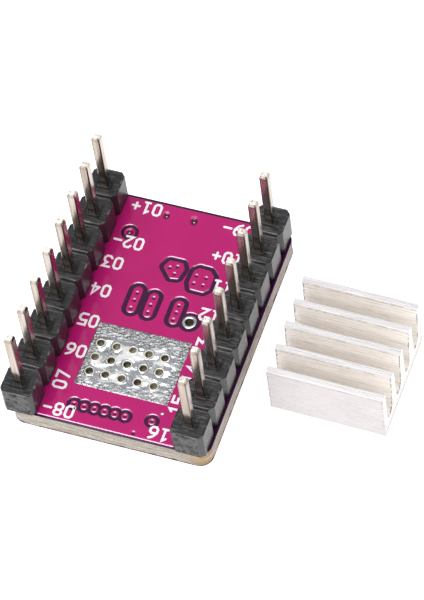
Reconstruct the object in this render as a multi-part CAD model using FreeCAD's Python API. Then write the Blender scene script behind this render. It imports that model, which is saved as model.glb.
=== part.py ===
import FreeCAD, Part
import os

# Stepper driver module: a 16-pin plug-in carrier board, lying component side down with its
# header pins up, and its loose finned heat sink beside it.  Millimetres, +Z up.
# Origin: centre of the 16-pin grid, in the plane of the header housings' top faces.
# +X points to the control-side header, +Y to the motor-supply end.

V = FreeCAD.Vector
UP = V(0, 0, 1)

# ---- driving dimensions ------------------------------------------------------------------

PITCH = 2.54                       # between pins in a row
PINS_PER_ROW = 8
ROW_SPACING = 5 * PITCH            # between the two rows

PIN_WIDTH = 0.64                   # square pin
PIN_FREE = 5.66                    # from the housing's top face to the pin's end
PIN_TAIL = 3.0                     # from the housing's bottom face to the tail's end
PIN_BEVEL = 0.13                   # how far each side leans in at the ends
PIN_BEVEL_LENGTH = 0.32

HOUSING_HEIGHT = 2.54
HOUSING_WIDTH = 2.44
HOUSING_CHAMFER = 0.42             # of the octagonal segments, in plan
HOUSING_END_TRIM = 0.13            # lost where the strip was snapped off
HOUSING_GROOVE = 0.16              # width and depth of the groove between segments

BOARD_LEFT = -7.25
BOARD_RIGHT = 7.75
BOARD_LENGTH = 19.8
BOARD_THICKNESS = 1.6              # over both mask layers
BOARD_CORNER = 1.0
MASK_THICKNESS = 0.03
PAD_PROUD = 0.02                   # solder coating above the mask

PIN_HOLE_DIAMETER = 1.0
SOLDER_RADIUS = 0.82               # of a pin's solder joint on the board
SOLDER_TIP_RADIUS = 0.48
SOLDER_HEIGHT = 0.75

THERMAL_PAD = (-3.47, -6.65, 3.62, -1.22)      # x, y of two opposite corners
THERMAL_HOLE_DIAMETER = 0.5
THERMAL_HOLE_COLUMNS = 5
THERMAL_HOLE_ROWS = 3
THERMAL_HOLE_PITCH = 1.22
THERMAL_HOLE_CENTRE = (-0.28, -4.18)

TEST_HOLE_CENTRE = (2.84, 0.44)
TEST_HOLE_RADIUS = 0.31
TEST_BARREL_WALL = 0.2                # plating and solder coat together
TEST_RING_RADIUS = 0.55

CHIP_CENTRE = (0.0, -4.0)
CHIP_BODY = (9.7, 4.4, 1.0)
CHIP_STANDOFF = 0.1
CHIP_DRAFT = 0.12                  # how far the moulded sides lean in
CHIP_LEADS_PER_SIDE = 14
CHIP_LEAD_PITCH = 0.65
CHIP_LEAD_WIDTH = 0.24
CHIP_LEAD_THICKNESS = 0.15
CHIP_LEAD_SPAN = 6.4
CHIP_LEAD_FOOT = 0.6
CHIP_SLUG = (5.2, 3.1)
CHIP_MARK_RADIUS = 0.35            # dimple beside lead 1
CHIP_MARK_DEPTH = 0.06

TRIMMER_CENTRE = (3.0, 7.0)
TRIMMER_BASE = (3.0, 3.4, 0.66)
TRIMMER_BORE_RADIUS = 0.45
TRIMMER_SHAFT_RADIUS = 0.41        # running fit in the bore
TRIMMER_SHAFT_LENGTH = 0.45
TRIMMER_ROTOR_RADIUS = 1.2
TRIMMER_ROTOR_HEIGHT = 0.42
TRIMMER_ROTOR_GAP = 0.06           # between the base and the rotor
TRIMMER_SLOT = (1.5, 0.36, 0.22)   # length, width and depth of the cross slot
TRIMMER_TERMINAL = (0.8, 0.22, 0.5)

# Surface-mount blocks: centre x, y; length, width, height, terminal length; long axis.
BLOCKS = {
    "supply_capacitor_1": (-3.95, 7.1, 3.2, 1.6, 1.2, 0.5, "y"),
    "supply_capacitor_2": (-1.55, 7.1, 3.2, 1.6, 1.2, 0.5, "y"),
    "sense_resistor_1": (-1.0, 2.1, 3.2, 1.6, 0.6, 0.45, "y"),
    "sense_resistor_2": (1.2, 2.1, 3.2, 1.6, 0.6, 0.45, "y"),
    "charge_pump_capacitor": (-3.7, 0.9, 1.6, 0.8, 0.8, 0.35, "y"),
    "reservoir_capacitor": (-3.7, 3.6, 1.6, 0.8, 0.8, 0.35, "y"),
    "regulator_capacitor": (4.4, 0.4, 1.6, 0.8, 0.8, 0.35, "y"),
    "bypass_capacitor": (3.4, 3.6, 1.6, 0.8, 0.8, 0.35, "x"),
    "fault_resistor": (-3.4, -8.9, 1.6, 0.8, 0.45, 0.3, "x"),
    "sleep_resistor": (0.0, -9.15, 1.6, 0.8, 0.45, 0.3, "x"),
    "divider_resistor": (3.6, -8.9, 1.6, 0.8, 0.45, 0.3, "x"),
}
BLOCK_PAD_MARGIN = 0.15            # of a block's solder pad beyond its terminal

SINK_CORNER = (9.95, -3.13)        # base corner nearest the control-side header
SINK_TURN = -0.93                  # degrees about +Z, as it lies beside the board
SINK_LENGTH = 8.6                  # along the fins
SINK_DEPTH = 8.4                   # across the fins
SINK_HEIGHT = 4.8
SINK_FINS = 5
SINK_FIN_TOP = 0.5                 # fin thickness at its tip
SINK_FIN_ROOT = 0.78               # fin thickness where the valley's round begins
SINK_BASE = 1.0
SINK_FIN_BEVEL = 0.1
TAPE_THICKNESS = 0.15
TAPE_MARGIN = 0.2                  # the tape is cut a little smaller than the base

# ---- levels, from the header housings' top faces down ----------------------------------------

PIN_SIDE_Z = -HOUSING_HEIGHT                         # outside of the pin-side mask
CORE_TOP = PIN_SIDE_Z - MASK_THICKNESS
COMPONENT_SIDE_Z = PIN_SIDE_Z - BOARD_THICKNESS      # outside of the component-side mask
CORE_BOTTOM = COMPONENT_SIDE_Z + MASK_THICKNESS
SEAT_Z = COMPONENT_SIDE_Z - PAD_PROUD                # where the surface-mount parts stand
SURFACE_Z = -HOUSING_HEIGHT - PIN_TAIL               # what the pin tails stand on

HALF_ROW = ROW_SPACING / 2
ROW_START = (PINS_PER_ROW - 1) * PITCH / 2           # y of the first pin of a row
MARGIN = 1.0                                         # overrun of a cutting tool


# ---- helpers -----------------------------------------------------------------------------

def save(shape, name):
    shape.exportStep("parts/" + name + ".step")


def block(x0, y0, z0, x1, y1, z1):
    """A box between two opposite corners."""
    low = V(min(x0, x1), min(y0, y1), min(z0, z1))
    return Part.makeBox(abs(x1 - x0), abs(y1 - y0), abs(z1 - z0), low)


def centred_block(x, y, length, width, z0, z1):
    return block(x - length / 2, y - width / 2, z0, x + length / 2, y + width / 2, z1)


def disc(x, y, radius, z0, z1):
    """A cylinder along Z between two levels."""
    return Part.makeCylinder(radius, abs(z1 - z0), V(x, y, min(z0, z1)), UP)


def square_wire(x, y, length, width, z):
    corners = [V(x + sx * length / 2, y + sy * width / 2, z)
               for sx, sy in ((-1, -1), (1, -1), (1, 1), (-1, 1), (-1, -1))]
    return Part.makePolygon(corners)


def tapered_stack(x, y, sections):
    """Solid through centred rectangles, each given as (length, width, z)."""
    wires = [square_wire(x, y, length, width, z) for length, width, z in sections]
    return Part.makeLoft(wires, True, True)


def prism(points, direction):
    """A closed polygon pushed along a vector."""
    return Part.Face(Part.makePolygon(points + points[:1])).extrude(direction)


def join(solids):
    return solids[0].fuse(solids[1:]) if len(solids) > 1 else solids[0]


def pin_places():
    """Pin number and centre of each pin, left row first, from the motor-supply end down."""
    places = []
    for side in (-1, 1):
        for i in range(PINS_PER_ROW):
            places.append((len(places) + 1, side * HALF_ROW, ROW_START - i * PITCH))
    return places


def thermal_hole_places():
    cx, cy = THERMAL_HOLE_CENTRE
    return [(cx + (i - (THERMAL_HOLE_COLUMNS - 1) / 2) * THERMAL_HOLE_PITCH,
             cy + (j - (THERMAL_HOLE_ROWS - 1) / 2) * THERMAL_HOLE_PITCH)
            for i in range(THERMAL_HOLE_COLUMNS) for j in range(THERMAL_HOLE_ROWS)]


def thermal_holes(z0, z1):
    return [disc(x, y, THERMAL_HOLE_DIAMETER / 2, z0, z1) for x, y in thermal_hole_places()]


# ---- circuit board -----------------------------------------------------------------------

def board_slab(z0, z1):
    """The board's outline with its rounded corners, between two levels."""
    slab = block(BOARD_LEFT, -BOARD_LENGTH / 2, z0, BOARD_RIGHT, BOARD_LENGTH / 2, z1)
    upright = [edge for edge in slab.Edges
               if abs(edge.Vertexes[0].Z - edge.Vertexes[1].Z) > MASK_THICKNESS / 2]
    return slab.makeFillet(BOARD_CORNER, upright)


def make_board():
    cutters = [disc(x, y, PIN_HOLE_DIAMETER / 2, CORE_TOP + MARGIN, CORE_BOTTOM - MARGIN)
               for number, x, y in pin_places()]
    cutters += thermal_holes(CORE_TOP + MARGIN, CORE_BOTTOM - MARGIN)
    cutters.append(disc(*TEST_HOLE_CENTRE, TEST_HOLE_RADIUS + TEST_BARREL_WALL,
                        CORE_TOP + MARGIN, CORE_BOTTOM - MARGIN))
    save(board_slab(CORE_BOTTOM, CORE_TOP).cut(cutters), "circuit_board")


def make_pin_side_mask():
    high, low = PIN_SIDE_Z + MARGIN, CORE_TOP - MARGIN
    x0, y0, x1, y1 = THERMAL_PAD
    cutters = [disc(x, y, PIN_HOLE_DIAMETER / 2, low, high) for number, x, y in pin_places()]
    cutters.append(block(x0, y0, low, x1, y1, high))
    cutters.append(disc(*TEST_HOLE_CENTRE, TEST_RING_RADIUS, low, high))
    save(board_slab(CORE_TOP, PIN_SIDE_Z).cut(cutters), "solder_mask_pin_side")


def make_component_side_mask(pads):
    high, low = CORE_BOTTOM + MARGIN, COMPONENT_SIDE_Z - MARGIN
    cutters = [disc(x, y, SOLDER_RADIUS, low, high) for number, x, y in pin_places()]
    cutters += [block(x0, y0, low, x1, y1, high) for x0, y0, x1, y1 in pads]
    cutters.append(centred_block(*CHIP_CENTRE, *CHIP_SLUG, low, high))
    cutters.append(disc(*TEST_HOLE_CENTRE, TEST_RING_RADIUS, low, high))
    mask = board_slab(COMPONENT_SIDE_Z, CORE_BOTTOM).cut(cutters)
    save(mask, "solder_mask_component_side")


def make_thermal_pad():
    x0, y0, x1, y1 = THERMAL_PAD
    pad = block(x0, y0, CORE_TOP, x1, y1, PIN_SIDE_Z + PAD_PROUD)
    pad = pad.cut(thermal_holes(CORE_TOP - MARGIN, PIN_SIDE_Z + MARGIN))
    save(pad, "thermal_pad")


def make_test_hole():
    """Plated barrel with a ring on each side of the board."""
    x, y = TEST_HOLE_CENTRE
    top, bottom = PIN_SIDE_Z + PAD_PROUD, SEAT_Z
    barrel = disc(x, y, TEST_HOLE_RADIUS + TEST_BARREL_WALL, bottom, top)
    upper = disc(x, y, TEST_RING_RADIUS, CORE_TOP, top)
    lower = disc(x, y, TEST_RING_RADIUS, bottom, CORE_BOTTOM)
    bore = disc(x, y, TEST_HOLE_RADIUS, bottom - MARGIN, top + MARGIN)
    save(join([barrel, upper, lower]).cut(bore), "test_hole_barrel")


def make_component_pads(pads):
    solids = [block(x0, y0, SEAT_Z, x1, y1, CORE_BOTTOM) for x0, y0, x1, y1 in pads]
    save(Part.makeCompound(solids), "component_pads")


# ---- headers -----------------------------------------------------------------------------

def octagon(y, half_length):
    """Plan of one housing segment, centred on x = 0."""
    w, c = HOUSING_WIDTH / 2, HOUSING_CHAMFER
    outline = [(-w, -half_length + c), (-w + c, -half_length), (w - c, -half_length),
               (w, -half_length + c), (w, half_length - c), (w - c, half_length),
               (-w + c, half_length), (-w, half_length - c)]
    return [V(px, y + py, -HOUSING_HEIGHT) for px, py in outline]


def make_housing(side, name):
    segments = []
    for i in range(PINS_PER_ROW):
        y = ROW_START - i * PITCH
        segments.append(prism(octagon(y, PITCH / 2), V(0, 0, HOUSING_HEIGHT)))
    housing = join(segments).removeSplitter()
    length = PINS_PER_ROW * PITCH
    cutters = [centred_block(0, s * length / 2, HOUSING_WIDTH + MARGIN, 2 * HOUSING_END_TRIM,
                             -HOUSING_HEIGHT - MARGIN, MARGIN) for s in (-1, 1)]
    for i in range(PINS_PER_ROW - 1):
        y = ROW_START - (i + 0.5) * PITCH
        cutters.append(centred_block(0, y, HOUSING_WIDTH + MARGIN, HOUSING_GROOVE,
                                     -HOUSING_GROOVE, MARGIN))
    for i in range(PINS_PER_ROW):
        cutters.append(centred_block(0, ROW_START - i * PITCH, PIN_WIDTH, PIN_WIDTH,
                                     -HOUSING_HEIGHT - MARGIN, MARGIN))
    housing = housing.cut(cutters)
    housing.translate(V(side * HALF_ROW, 0, 0))
    save(housing, name)


def make_pins():
    narrow = PIN_WIDTH - 2 * PIN_BEVEL
    for number, x, y in pin_places():
        pin = tapered_stack(x, y, [
            (narrow, narrow, SURFACE_Z),
            (PIN_WIDTH, PIN_WIDTH, SURFACE_Z + PIN_BEVEL_LENGTH),
            (PIN_WIDTH, PIN_WIDTH, PIN_FREE - PIN_BEVEL_LENGTH),
            (narrow, narrow, PIN_FREE)])
        save(pin, "header_pin_%02d" % number)


def solder_joint(x, y):
    """Solder in the plated hole and a cone round the pin's tail."""
    fill = disc(x, y, PIN_HOLE_DIAMETER / 2, CORE_BOTTOM, PIN_SIDE_Z)
    cone = Part.makeCone(SOLDER_RADIUS, SOLDER_TIP_RADIUS, SOLDER_HEIGHT,
                         V(x, y, CORE_BOTTOM), V(0, 0, -1))
    pin = centred_block(x, y, PIN_WIDTH, PIN_WIDTH, PIN_SIDE_Z + MARGIN, SURFACE_Z)
    return join([fill, cone]).cut(pin)


def make_solder_joints(side, name):
    solids = [solder_joint(x, y) for number, x, y in pin_places() if x * side > 0]
    save(Part.makeCompound(solids), name)


# ---- driver chip -------------------------------------------------------------------------

def chip_lead_places():
    """x and side of each lead."""
    cx = CHIP_CENTRE[0]
    return [(cx + (i - (CHIP_LEADS_PER_SIDE - 1) / 2) * CHIP_LEAD_PITCH, side)
            for side in (-1, 1) for i in range(CHIP_LEADS_PER_SIDE)]


def chip_pads():
    cy = CHIP_CENTRE[1]
    outer = CHIP_LEAD_SPAN / 2 + BLOCK_PAD_MARGIN
    inner = CHIP_LEAD_SPAN / 2 - CHIP_LEAD_FOOT - BLOCK_PAD_MARGIN
    half = CHIP_LEAD_WIDTH / 2 + 0.05
    return [(x - half, cy + side * (inner if side > 0 else outer),
             x + half, cy + side * (outer if side > 0 else inner))
            for x, side in chip_lead_places()]


def make_chip_body():
    length, width, height = CHIP_BODY
    x, y = CHIP_CENTRE
    near = SEAT_Z - CHIP_STANDOFF
    far = near - height
    middle = (near + far) / 2
    lean = 2 * CHIP_DRAFT
    body = tapered_stack(x, y, [(length - lean, width - lean, near), (length, width, middle),
                                (length - lean, width - lean, far)])
    mark = disc(x - length / 2 + 0.9, y + width / 2 - 0.8, CHIP_MARK_RADIUS,
                far - MARGIN, far + CHIP_MARK_DEPTH)
    save(body.cut(mark), "driver_chip_body")


def chip_lead(x, side):
    """Gull-wing strip: out of the body, down to the board, and a flat foot."""
    cy = CHIP_CENTRE[1]
    t = CHIP_LEAD_THICKNESS
    middle = SEAT_Z - CHIP_STANDOFF - CHIP_BODY[2] / 2
    root = CHIP_BODY[1] / 2
    toe = CHIP_LEAD_SPAN / 2
    knee = root + 0.22
    heel = toe - CHIP_LEAD_FOOT
    outline = [(root, middle - t / 2), (knee + t, middle - t / 2), (heel + t, SEAT_Z - t),
               (toe, SEAT_Z - t), (toe, SEAT_Z), (heel, SEAT_Z),
               (knee, middle + t / 2), (root, middle + t / 2)]
    points = [V(x - CHIP_LEAD_WIDTH / 2, cy + side * py, z) for py, z in outline]
    return prism(points, V(CHIP_LEAD_WIDTH, 0, 0))


def make_chip():
    make_chip_body()
    leads = [chip_lead(x, side) for x, side in chip_lead_places()]
    save(Part.makeCompound(leads), "driver_chip_leads")
    slug = centred_block(*CHIP_CENTRE, *CHIP_SLUG, SEAT_Z - CHIP_STANDOFF, CORE_BOTTOM)
    save(slug, "driver_chip_slug")


# ---- trimmer -----------------------------------------------------------------------------

def trimmer_terminal_places():
    """Centre of each terminal: one at the far side and two at the near side."""
    x, y = TRIMMER_CENTRE
    reach = TRIMMER_BASE[1] / 2 + TRIMMER_TERMINAL[1] / 2
    spread = TRIMMER_BASE[0] / 2 - TRIMMER_TERMINAL[0] / 2
    return [(x, y + reach), (x - spread, y - reach), (x + spread, y - reach)]


def trimmer_pads():
    half = TRIMMER_TERMINAL[0] / 2 + BLOCK_PAD_MARGIN
    depth = TRIMMER_TERMINAL[1] / 2 + BLOCK_PAD_MARGIN
    return [(x - half, y - depth, x + half, y + depth) for x, y in trimmer_terminal_places()]


def make_trimmer():
    x, y = TRIMMER_CENTRE
    length, width, height = TRIMMER_BASE
    base_far = SEAT_Z - height
    base = centred_block(x, y, length, width, SEAT_Z, base_far)
    base = base.cut(disc(x, y, TRIMMER_BORE_RADIUS, SEAT_Z + MARGIN, base_far - MARGIN))
    save(base, "trimmer_base")

    rotor_near = base_far - TRIMMER_ROTOR_GAP
    rotor_far = rotor_near - TRIMMER_ROTOR_HEIGHT
    rotor = join([disc(x, y, TRIMMER_ROTOR_RADIUS, rotor_near, rotor_far),
                  disc(x, y, TRIMMER_SHAFT_RADIUS, rotor_near + TRIMMER_SHAFT_LENGTH, rotor_far)])
    slot_length, slot_width, slot_depth = TRIMMER_SLOT
    slots = [centred_block(x, y, a, b, rotor_far - MARGIN, rotor_far + slot_depth)
             for a, b in ((slot_length, slot_width), (slot_width, slot_length))]
    save(rotor.cut(slots), "trimmer_rotor")

    t_length, t_width, t_height = TRIMMER_TERMINAL
    terminals = [centred_block(tx, ty, t_length, t_width, SEAT_Z, SEAT_Z - t_height)
                 for tx, ty in trimmer_terminal_places()]
    save(Part.makeCompound(terminals), "trimmer_terminals")


# ---- capacitors and resistors ------------------------------------------------------------

def block_pads(spec):
    x, y, length, width, height, end, axis = spec
    pads = []
    for s in (-1, 1):
        a = (length - end) / 2 * s
        half_a, half_b = end / 2 + BLOCK_PAD_MARGIN, width / 2 + BLOCK_PAD_MARGIN / 2
        if axis == "x":
            pads.append((x + a - half_a, y - half_b, x + a + half_a, y + half_b))
        else:
            pads.append((x - half_b, y + a - half_a, x + half_b, y + a + half_a))
    return pads


def make_block(name, spec):
    """A ceramic block between two solderable end terminals."""
    x, y, length, width, height, end, axis = spec
    turned = axis == "y"

    def piece(offset, size, depth):
        if turned:
            return centred_block(x, y + offset, width, size, SEAT_Z, SEAT_Z - depth)
        return centred_block(x + offset, y, size, width, SEAT_Z, SEAT_Z - depth)

    save(piece(0, length - 2 * end, height), name)
    ends = [piece(s * (length - end) / 2, end, height) for s in (-1, 1)]
    save(Part.makeCompound(ends), name + "_terminals")


# ---- heat sink ---------------------------------------------------------------------------

def sink_outline():
    """Edges of the section across the fins: y across, z up from the base."""
    pitch = (SINK_DEPTH - SINK_FIN_TOP) / (SINK_FINS - 1)
    lean = (SINK_FIN_ROOT - SINK_FIN_TOP) / 2
    valley_half = (pitch - SINK_FIN_TOP) / 2 - lean
    round_z = SINK_BASE + valley_half
    bevel = SINK_FIN_BEVEL
    edges = []
    at = [V(0, SINK_DEPTH, 0)]

    def line_to(y, z):
        edges.append(Part.LineSegment(at[0], V(0, y, z)).toShape())
        at[0] = V(0, y, z)

    line_to(0, 0)
    line_to(0, SINK_HEIGHT - bevel)
    line_to(bevel, SINK_HEIGHT)
    for i in range(SINK_FINS - 1):
        right = i * pitch + SINK_FIN_TOP
        middle = right + (pitch - SINK_FIN_TOP) / 2
        line_to(right - bevel, SINK_HEIGHT)
        line_to(right, SINK_HEIGHT - bevel)
        line_to(middle - valley_half, round_z)
        end = V(0, middle + valley_half, round_z)
        edges.append(Part.Arc(at[0], V(0, middle, SINK_BASE), end).toShape())
        at[0] = end
        line_to(right + pitch - SINK_FIN_TOP, SINK_HEIGHT - bevel)
        line_to(right + pitch - SINK_FIN_TOP + bevel, SINK_HEIGHT)
    line_to(SINK_DEPTH - bevel, SINK_HEIGHT)
    line_to(SINK_DEPTH, SINK_HEIGHT - bevel)
    line_to(SINK_DEPTH, 0)
    return Part.Wire(edges)


def lay_beside_board(shape):
    """Turn and move a heat sink part from its own corner to its place."""
    shape.rotate(V(0, 0, 0), UP, SINK_TURN)
    shape.translate(V(SINK_CORNER[0], SINK_CORNER[1], SURFACE_Z))
    return shape


def make_heatsink():
    sink = Part.Face(sink_outline()).extrude(V(SINK_LENGTH, 0, 0))
    sink.translate(V(0, 0, TAPE_THICKNESS))
    save(lay_beside_board(sink), "heatsink")
    tape = block(TAPE_MARGIN, TAPE_MARGIN, 0,
                 SINK_LENGTH - TAPE_MARGIN, SINK_DEPTH - TAPE_MARGIN, TAPE_THICKNESS)
    save(lay_beside_board(tape), "heatsink_tape")


# ---- build -------------------------------------------------------------------------------

def main():
    os.makedirs("parts", exist_ok=True)
    pads = chip_pads() + trimmer_pads()
    for spec in BLOCKS.values():
        pads += block_pads(spec)
    make_board()
    make_pin_side_mask()
    make_component_side_mask(pads)
    make_thermal_pad()
    make_test_hole()
    make_component_pads(pads)
    make_housing(-1, "header_housing_left")
    make_housing(1, "header_housing_right")
    make_pins()
    make_solder_joints(-1, "solder_joints_left")
    make_solder_joints(1, "solder_joints_right")
    make_chip()
    make_trimmer()
    for name, spec in BLOCKS.items():
        make_block(name, spec)
    make_heatsink()


main()
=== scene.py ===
import math

import bmesh
import bpy
import numpy as np
from mathutils import Matrix, Vector


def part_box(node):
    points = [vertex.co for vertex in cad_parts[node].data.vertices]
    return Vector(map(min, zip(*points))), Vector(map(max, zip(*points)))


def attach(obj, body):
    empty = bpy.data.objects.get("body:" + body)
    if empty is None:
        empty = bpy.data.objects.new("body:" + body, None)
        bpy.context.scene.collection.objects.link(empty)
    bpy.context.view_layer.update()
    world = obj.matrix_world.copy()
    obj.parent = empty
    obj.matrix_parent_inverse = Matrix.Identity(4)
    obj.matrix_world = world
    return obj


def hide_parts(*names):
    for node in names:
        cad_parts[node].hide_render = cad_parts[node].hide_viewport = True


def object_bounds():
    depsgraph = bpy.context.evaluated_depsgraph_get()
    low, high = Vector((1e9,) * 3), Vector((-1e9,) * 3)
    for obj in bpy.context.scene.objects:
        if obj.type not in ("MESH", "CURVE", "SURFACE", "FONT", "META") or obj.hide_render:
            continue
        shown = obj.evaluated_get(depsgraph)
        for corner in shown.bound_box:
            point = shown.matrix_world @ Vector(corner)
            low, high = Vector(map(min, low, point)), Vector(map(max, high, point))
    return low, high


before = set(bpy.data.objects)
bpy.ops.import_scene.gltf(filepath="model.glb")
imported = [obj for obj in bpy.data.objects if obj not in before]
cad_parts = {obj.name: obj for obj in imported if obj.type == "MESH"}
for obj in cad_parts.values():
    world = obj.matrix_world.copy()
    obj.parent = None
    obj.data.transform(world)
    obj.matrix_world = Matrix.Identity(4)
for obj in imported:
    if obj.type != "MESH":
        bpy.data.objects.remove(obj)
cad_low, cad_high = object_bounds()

# Stepper driver module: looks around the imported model.  Shapes are written in millimetres and
# scaled to metres when their meshes are made.

MM = 0.001
PITCH = 2.54
PINS_PER_ROW = 8


def node_box(name):
    """Lowest and highest corner of a CAD node, in millimetres."""
    low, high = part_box(name)
    return np.array(low) / MM, np.array(high) / MM


def centre_of(name):
    """Middle of a CAD node's box in plan."""
    low, high = node_box(name)
    return ((low + high) / 2)[:2]


BOARD_LOW, BOARD_HIGH = node_box("circuit_board")
PIN_MASK_LOW, PIN_MASK_HIGH = node_box("solder_mask_pin_side")
PART_MASK_LOW, PART_MASK_HIGH = node_box("solder_mask_component_side")
PIN_SIDE_Z = PIN_MASK_HIGH[2]
PART_SIDE_Z = PART_MASK_LOW[2]
BOARD_CORNER = 1.0
SURFACE_Z = cad_low.z / MM
TEST_HOLE = centre_of("test_hole_barrel")


# ---- small mathematics -----------------------------------------------------------------------

def smooth(t):
    t = np.clip(t, 0, 1)
    return t * t * (3 - 2 * t)


def step_between(low, high, value):
    return smooth((value - low) / (high - low))


def lattice_noise(x, y, seed):
    """Smooth value noise from -1 to 1, one cell per unit."""
    table = np.random.RandomState(seed).uniform(-1, 1, (64, 64))
    xi, yi = np.floor(x).astype(int), np.floor(y).astype(int)
    fx, fy = smooth(x - xi), smooth(y - yi)
    a, b = table[xi % 64, yi % 64], table[(xi + 1) % 64, yi % 64]
    c, d = table[xi % 64, (yi + 1) % 64], table[(xi + 1) % 64, (yi + 1) % 64]
    return (a * (1 - fx) + b * fx) * (1 - fy) + (c * (1 - fx) + d * fx) * fy


def fractal_noise(x, y, seed, octaves=4):
    total, weight = 0, 0
    for k in range(octaves):
        share = 0.5 ** k
        total = total + share * lattice_noise(x * 2 ** k, y * 2 ** k, seed + k)
        weight += share
    return total / weight


def divisions(low, high, step):
    """Numbers from low to high, about a step apart."""
    return np.linspace(low, high, int((high - low) / step) + 1)


def distance_to(x, y, point):
    return np.hypot(x - point[0], y - point[1])


def nearest_distance(x, y, points):
    return np.min([distance_to(x, y, point) for point in points], axis=0)


def segment_distance(x, y, a, b):
    ax, ay = a
    dx, dy = b[0] - ax, b[1] - ay
    t = np.clip(((x - ax) * dx + (y - ay) * dy) / max(dx * dx + dy * dy, 1e-9), 0, 1)
    return np.hypot(x - ax - t * dx, y - ay - t * dy)


def path_distance(x, y, points):
    return np.min([segment_distance(x, y, a, b) for a, b in zip(points, points[1:])], axis=0)


def polygon_distance(x, y, points):
    """Signed distance to a closed polygon, negative inside."""
    closed = list(points) + [points[0]]
    distance = path_distance(x, y, closed)
    inside = np.zeros(np.shape(x), bool)
    for (ax, ay), (bx, by) in zip(closed, closed[1:]):
        if ay != by:
            crosses = (ay > y) != (by > y)
            inside ^= crosses & (x < (bx - ax) * (y - ay) / (by - ay) + ax)
    return np.where(inside, -distance, distance)


def inset(points, amount):
    """A convex polygon moved inwards by an amount; its points run clockwise."""
    lines = []
    for (ax, ay), (bx, by) in zip(points, points[1:] + points[:1]):
        length = math.hypot(bx - ax, by - ay)
        nx, ny = (by - ay) / length, -(bx - ax) / length
        lines.append((nx, ny, nx * ax + ny * ay + amount))
    corners = []
    for (n1x, n1y, c1), (n2x, n2y, c2) in zip(lines[-1:] + lines[:-1], lines):
        det = n1x * n2y - n2x * n1y
        corners.append(((c1 * n2y - c2 * n1y) / det, (n1x * c2 - n2x * c1) / det))
    return corners


# ---- meshes ----------------------------------------------------------------------------------

def add_piece(name, shape, material, replaces=(), body="board", sharp=60):
    """Adds a mesh or bmesh as a visible piece; its edges over the sharp angle aren't smoothed."""
    mesh = finish_mesh(shape, name) if isinstance(shape, bmesh.types.BMesh) else shape
    obj = bpy.data.objects.new(name, mesh)
    bpy.context.scene.collection.objects.link(obj)
    mesh.materials.append(material)
    for polygon in mesh.polygons:
        polygon.use_smooth = True
    mesh.set_sharp_from_angle(angle=math.radians(sharp))
    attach(obj, body)
    if replaces:
        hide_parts(*replaces)
    return obj


def repaint(node, material):
    """Gives a CAD node that stays in view its own material."""
    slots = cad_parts[node].data.materials
    slots.clear()
    slots.append(material)


def mesh_of(name, points, faces):
    mesh = bpy.data.meshes.new(name)
    mesh.from_pydata((np.asarray(points, float).reshape(-1, 3) * MM).tolist(), [], faces)
    return mesh


def set_values(mesh, name, values):
    """Stores a number for each point, for the material to read."""
    layer = mesh.attributes.new(name, "FLOAT", "POINT")
    layer.data.foreach_set("value", np.asarray(values, np.float32).ravel())


def plan_of(mesh):
    """x and y of a mesh's points, in millimetres."""
    points = np.array([vertex.co for vertex in mesh.vertices]) / MM
    return points[:, 0], points[:, 1]


def quads_of(rows, columns, wrap_columns=False):
    """Faces of a grid of points stored row by row."""
    i, j = np.meshgrid(np.arange(rows - 1), np.arange(columns if wrap_columns else columns - 1),
                       indexing="ij")
    j2 = (j + 1) % columns
    quads = [i * columns + j, i * columns + j2, (i + 1) * columns + j2, (i + 1) * columns + j]
    return np.stack(quads, -1).reshape(-1, 4)


def tube_faces(rows, columns):
    """Faces of a closed tube of rows, with flat ends."""
    ends = [list(range(columns))[::-1], list(range((rows - 1) * columns, rows * columns))]
    return quads_of(rows, columns, wrap_columns=True).tolist() + ends


def finish_mesh(bm, name):
    bmesh.ops.remove_doubles(bm, verts=bm.verts, dist=1e-8)
    bmesh.ops.recalc_face_normals(bm, faces=bm.faces)
    mesh = bpy.data.meshes.new(name)
    bm.to_mesh(mesh)
    bm.free()
    return mesh


def bevelled(bm, width, segments=2, angle=30):
    """Rounds every edge sharper than the angle."""
    edges = [e for e in bm.edges
             if len(e.link_faces) == 2 and e.calc_face_angle(0) > math.radians(angle)]
    bmesh.ops.bevel(bm, geom=edges, offset=width * MM, segments=segments, profile=0.5,
                    affect="EDGES", clamp_overlap=True)


def add_box(bm, low, high):
    centre = (np.array(low) + np.array(high)) / 2 * MM
    size = np.abs(np.array(high) - np.array(low)) * MM
    matrix = Matrix.Translation(Vector(centre)) @ Matrix.Diagonal((*size, 1))
    return bmesh.ops.create_cube(bm, size=1, matrix=matrix)["verts"]


def add_ring(bm, points):
    return [bm.verts.new([MM * number for number in point]) for point in points]


def bridge(bm, rings):
    """Quads between neighbouring closed rings of vertices."""
    for a, b in zip(rings, rings[1:]):
        for j in range(len(a)):
            k = (j + 1) % len(a)
            bm.faces.new((a[j], a[k], b[k], b[j]))


def add_solid(bm, outlines):
    """A solid through outlines of as many points each, with flat ends."""
    rings = [add_ring(bm, outline) for outline in outlines]
    bridge(bm, rings)
    bm.faces.new(rings[0][::-1])
    bm.faces.new(rings[-1])


def circle(centre, radius, z, turns):
    return [(centre[0] + radius * math.cos(a), centre[1] + radius * math.sin(a), z)
            for a in np.arange(turns) * 2 * math.pi / turns]


def add_turned(bm, centre, profile, turns):
    """Quads from a profile of (radius, z) turned about Z, with none along the axis itself."""
    rings = [add_ring(bm, circle(centre, radius, z, turns)) for radius, z in profile]
    for k in range(len(profile) - 1):
        if profile[k][0] or profile[k + 1][0]:
            bridge(bm, rings[k:k + 2])


def turned(centre, profile, turns):
    bm = bmesh.new()
    add_turned(bm, centre, profile, turns)
    return bm


def bevelled_boxes(boxes, width, segments):
    """Boxes, each from its low to its high corner, with rounded edges."""
    bm = bmesh.new()
    for low, high in boxes:
        add_box(bm, low, high)
    bevelled(bm, width, segments)
    return bm


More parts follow.
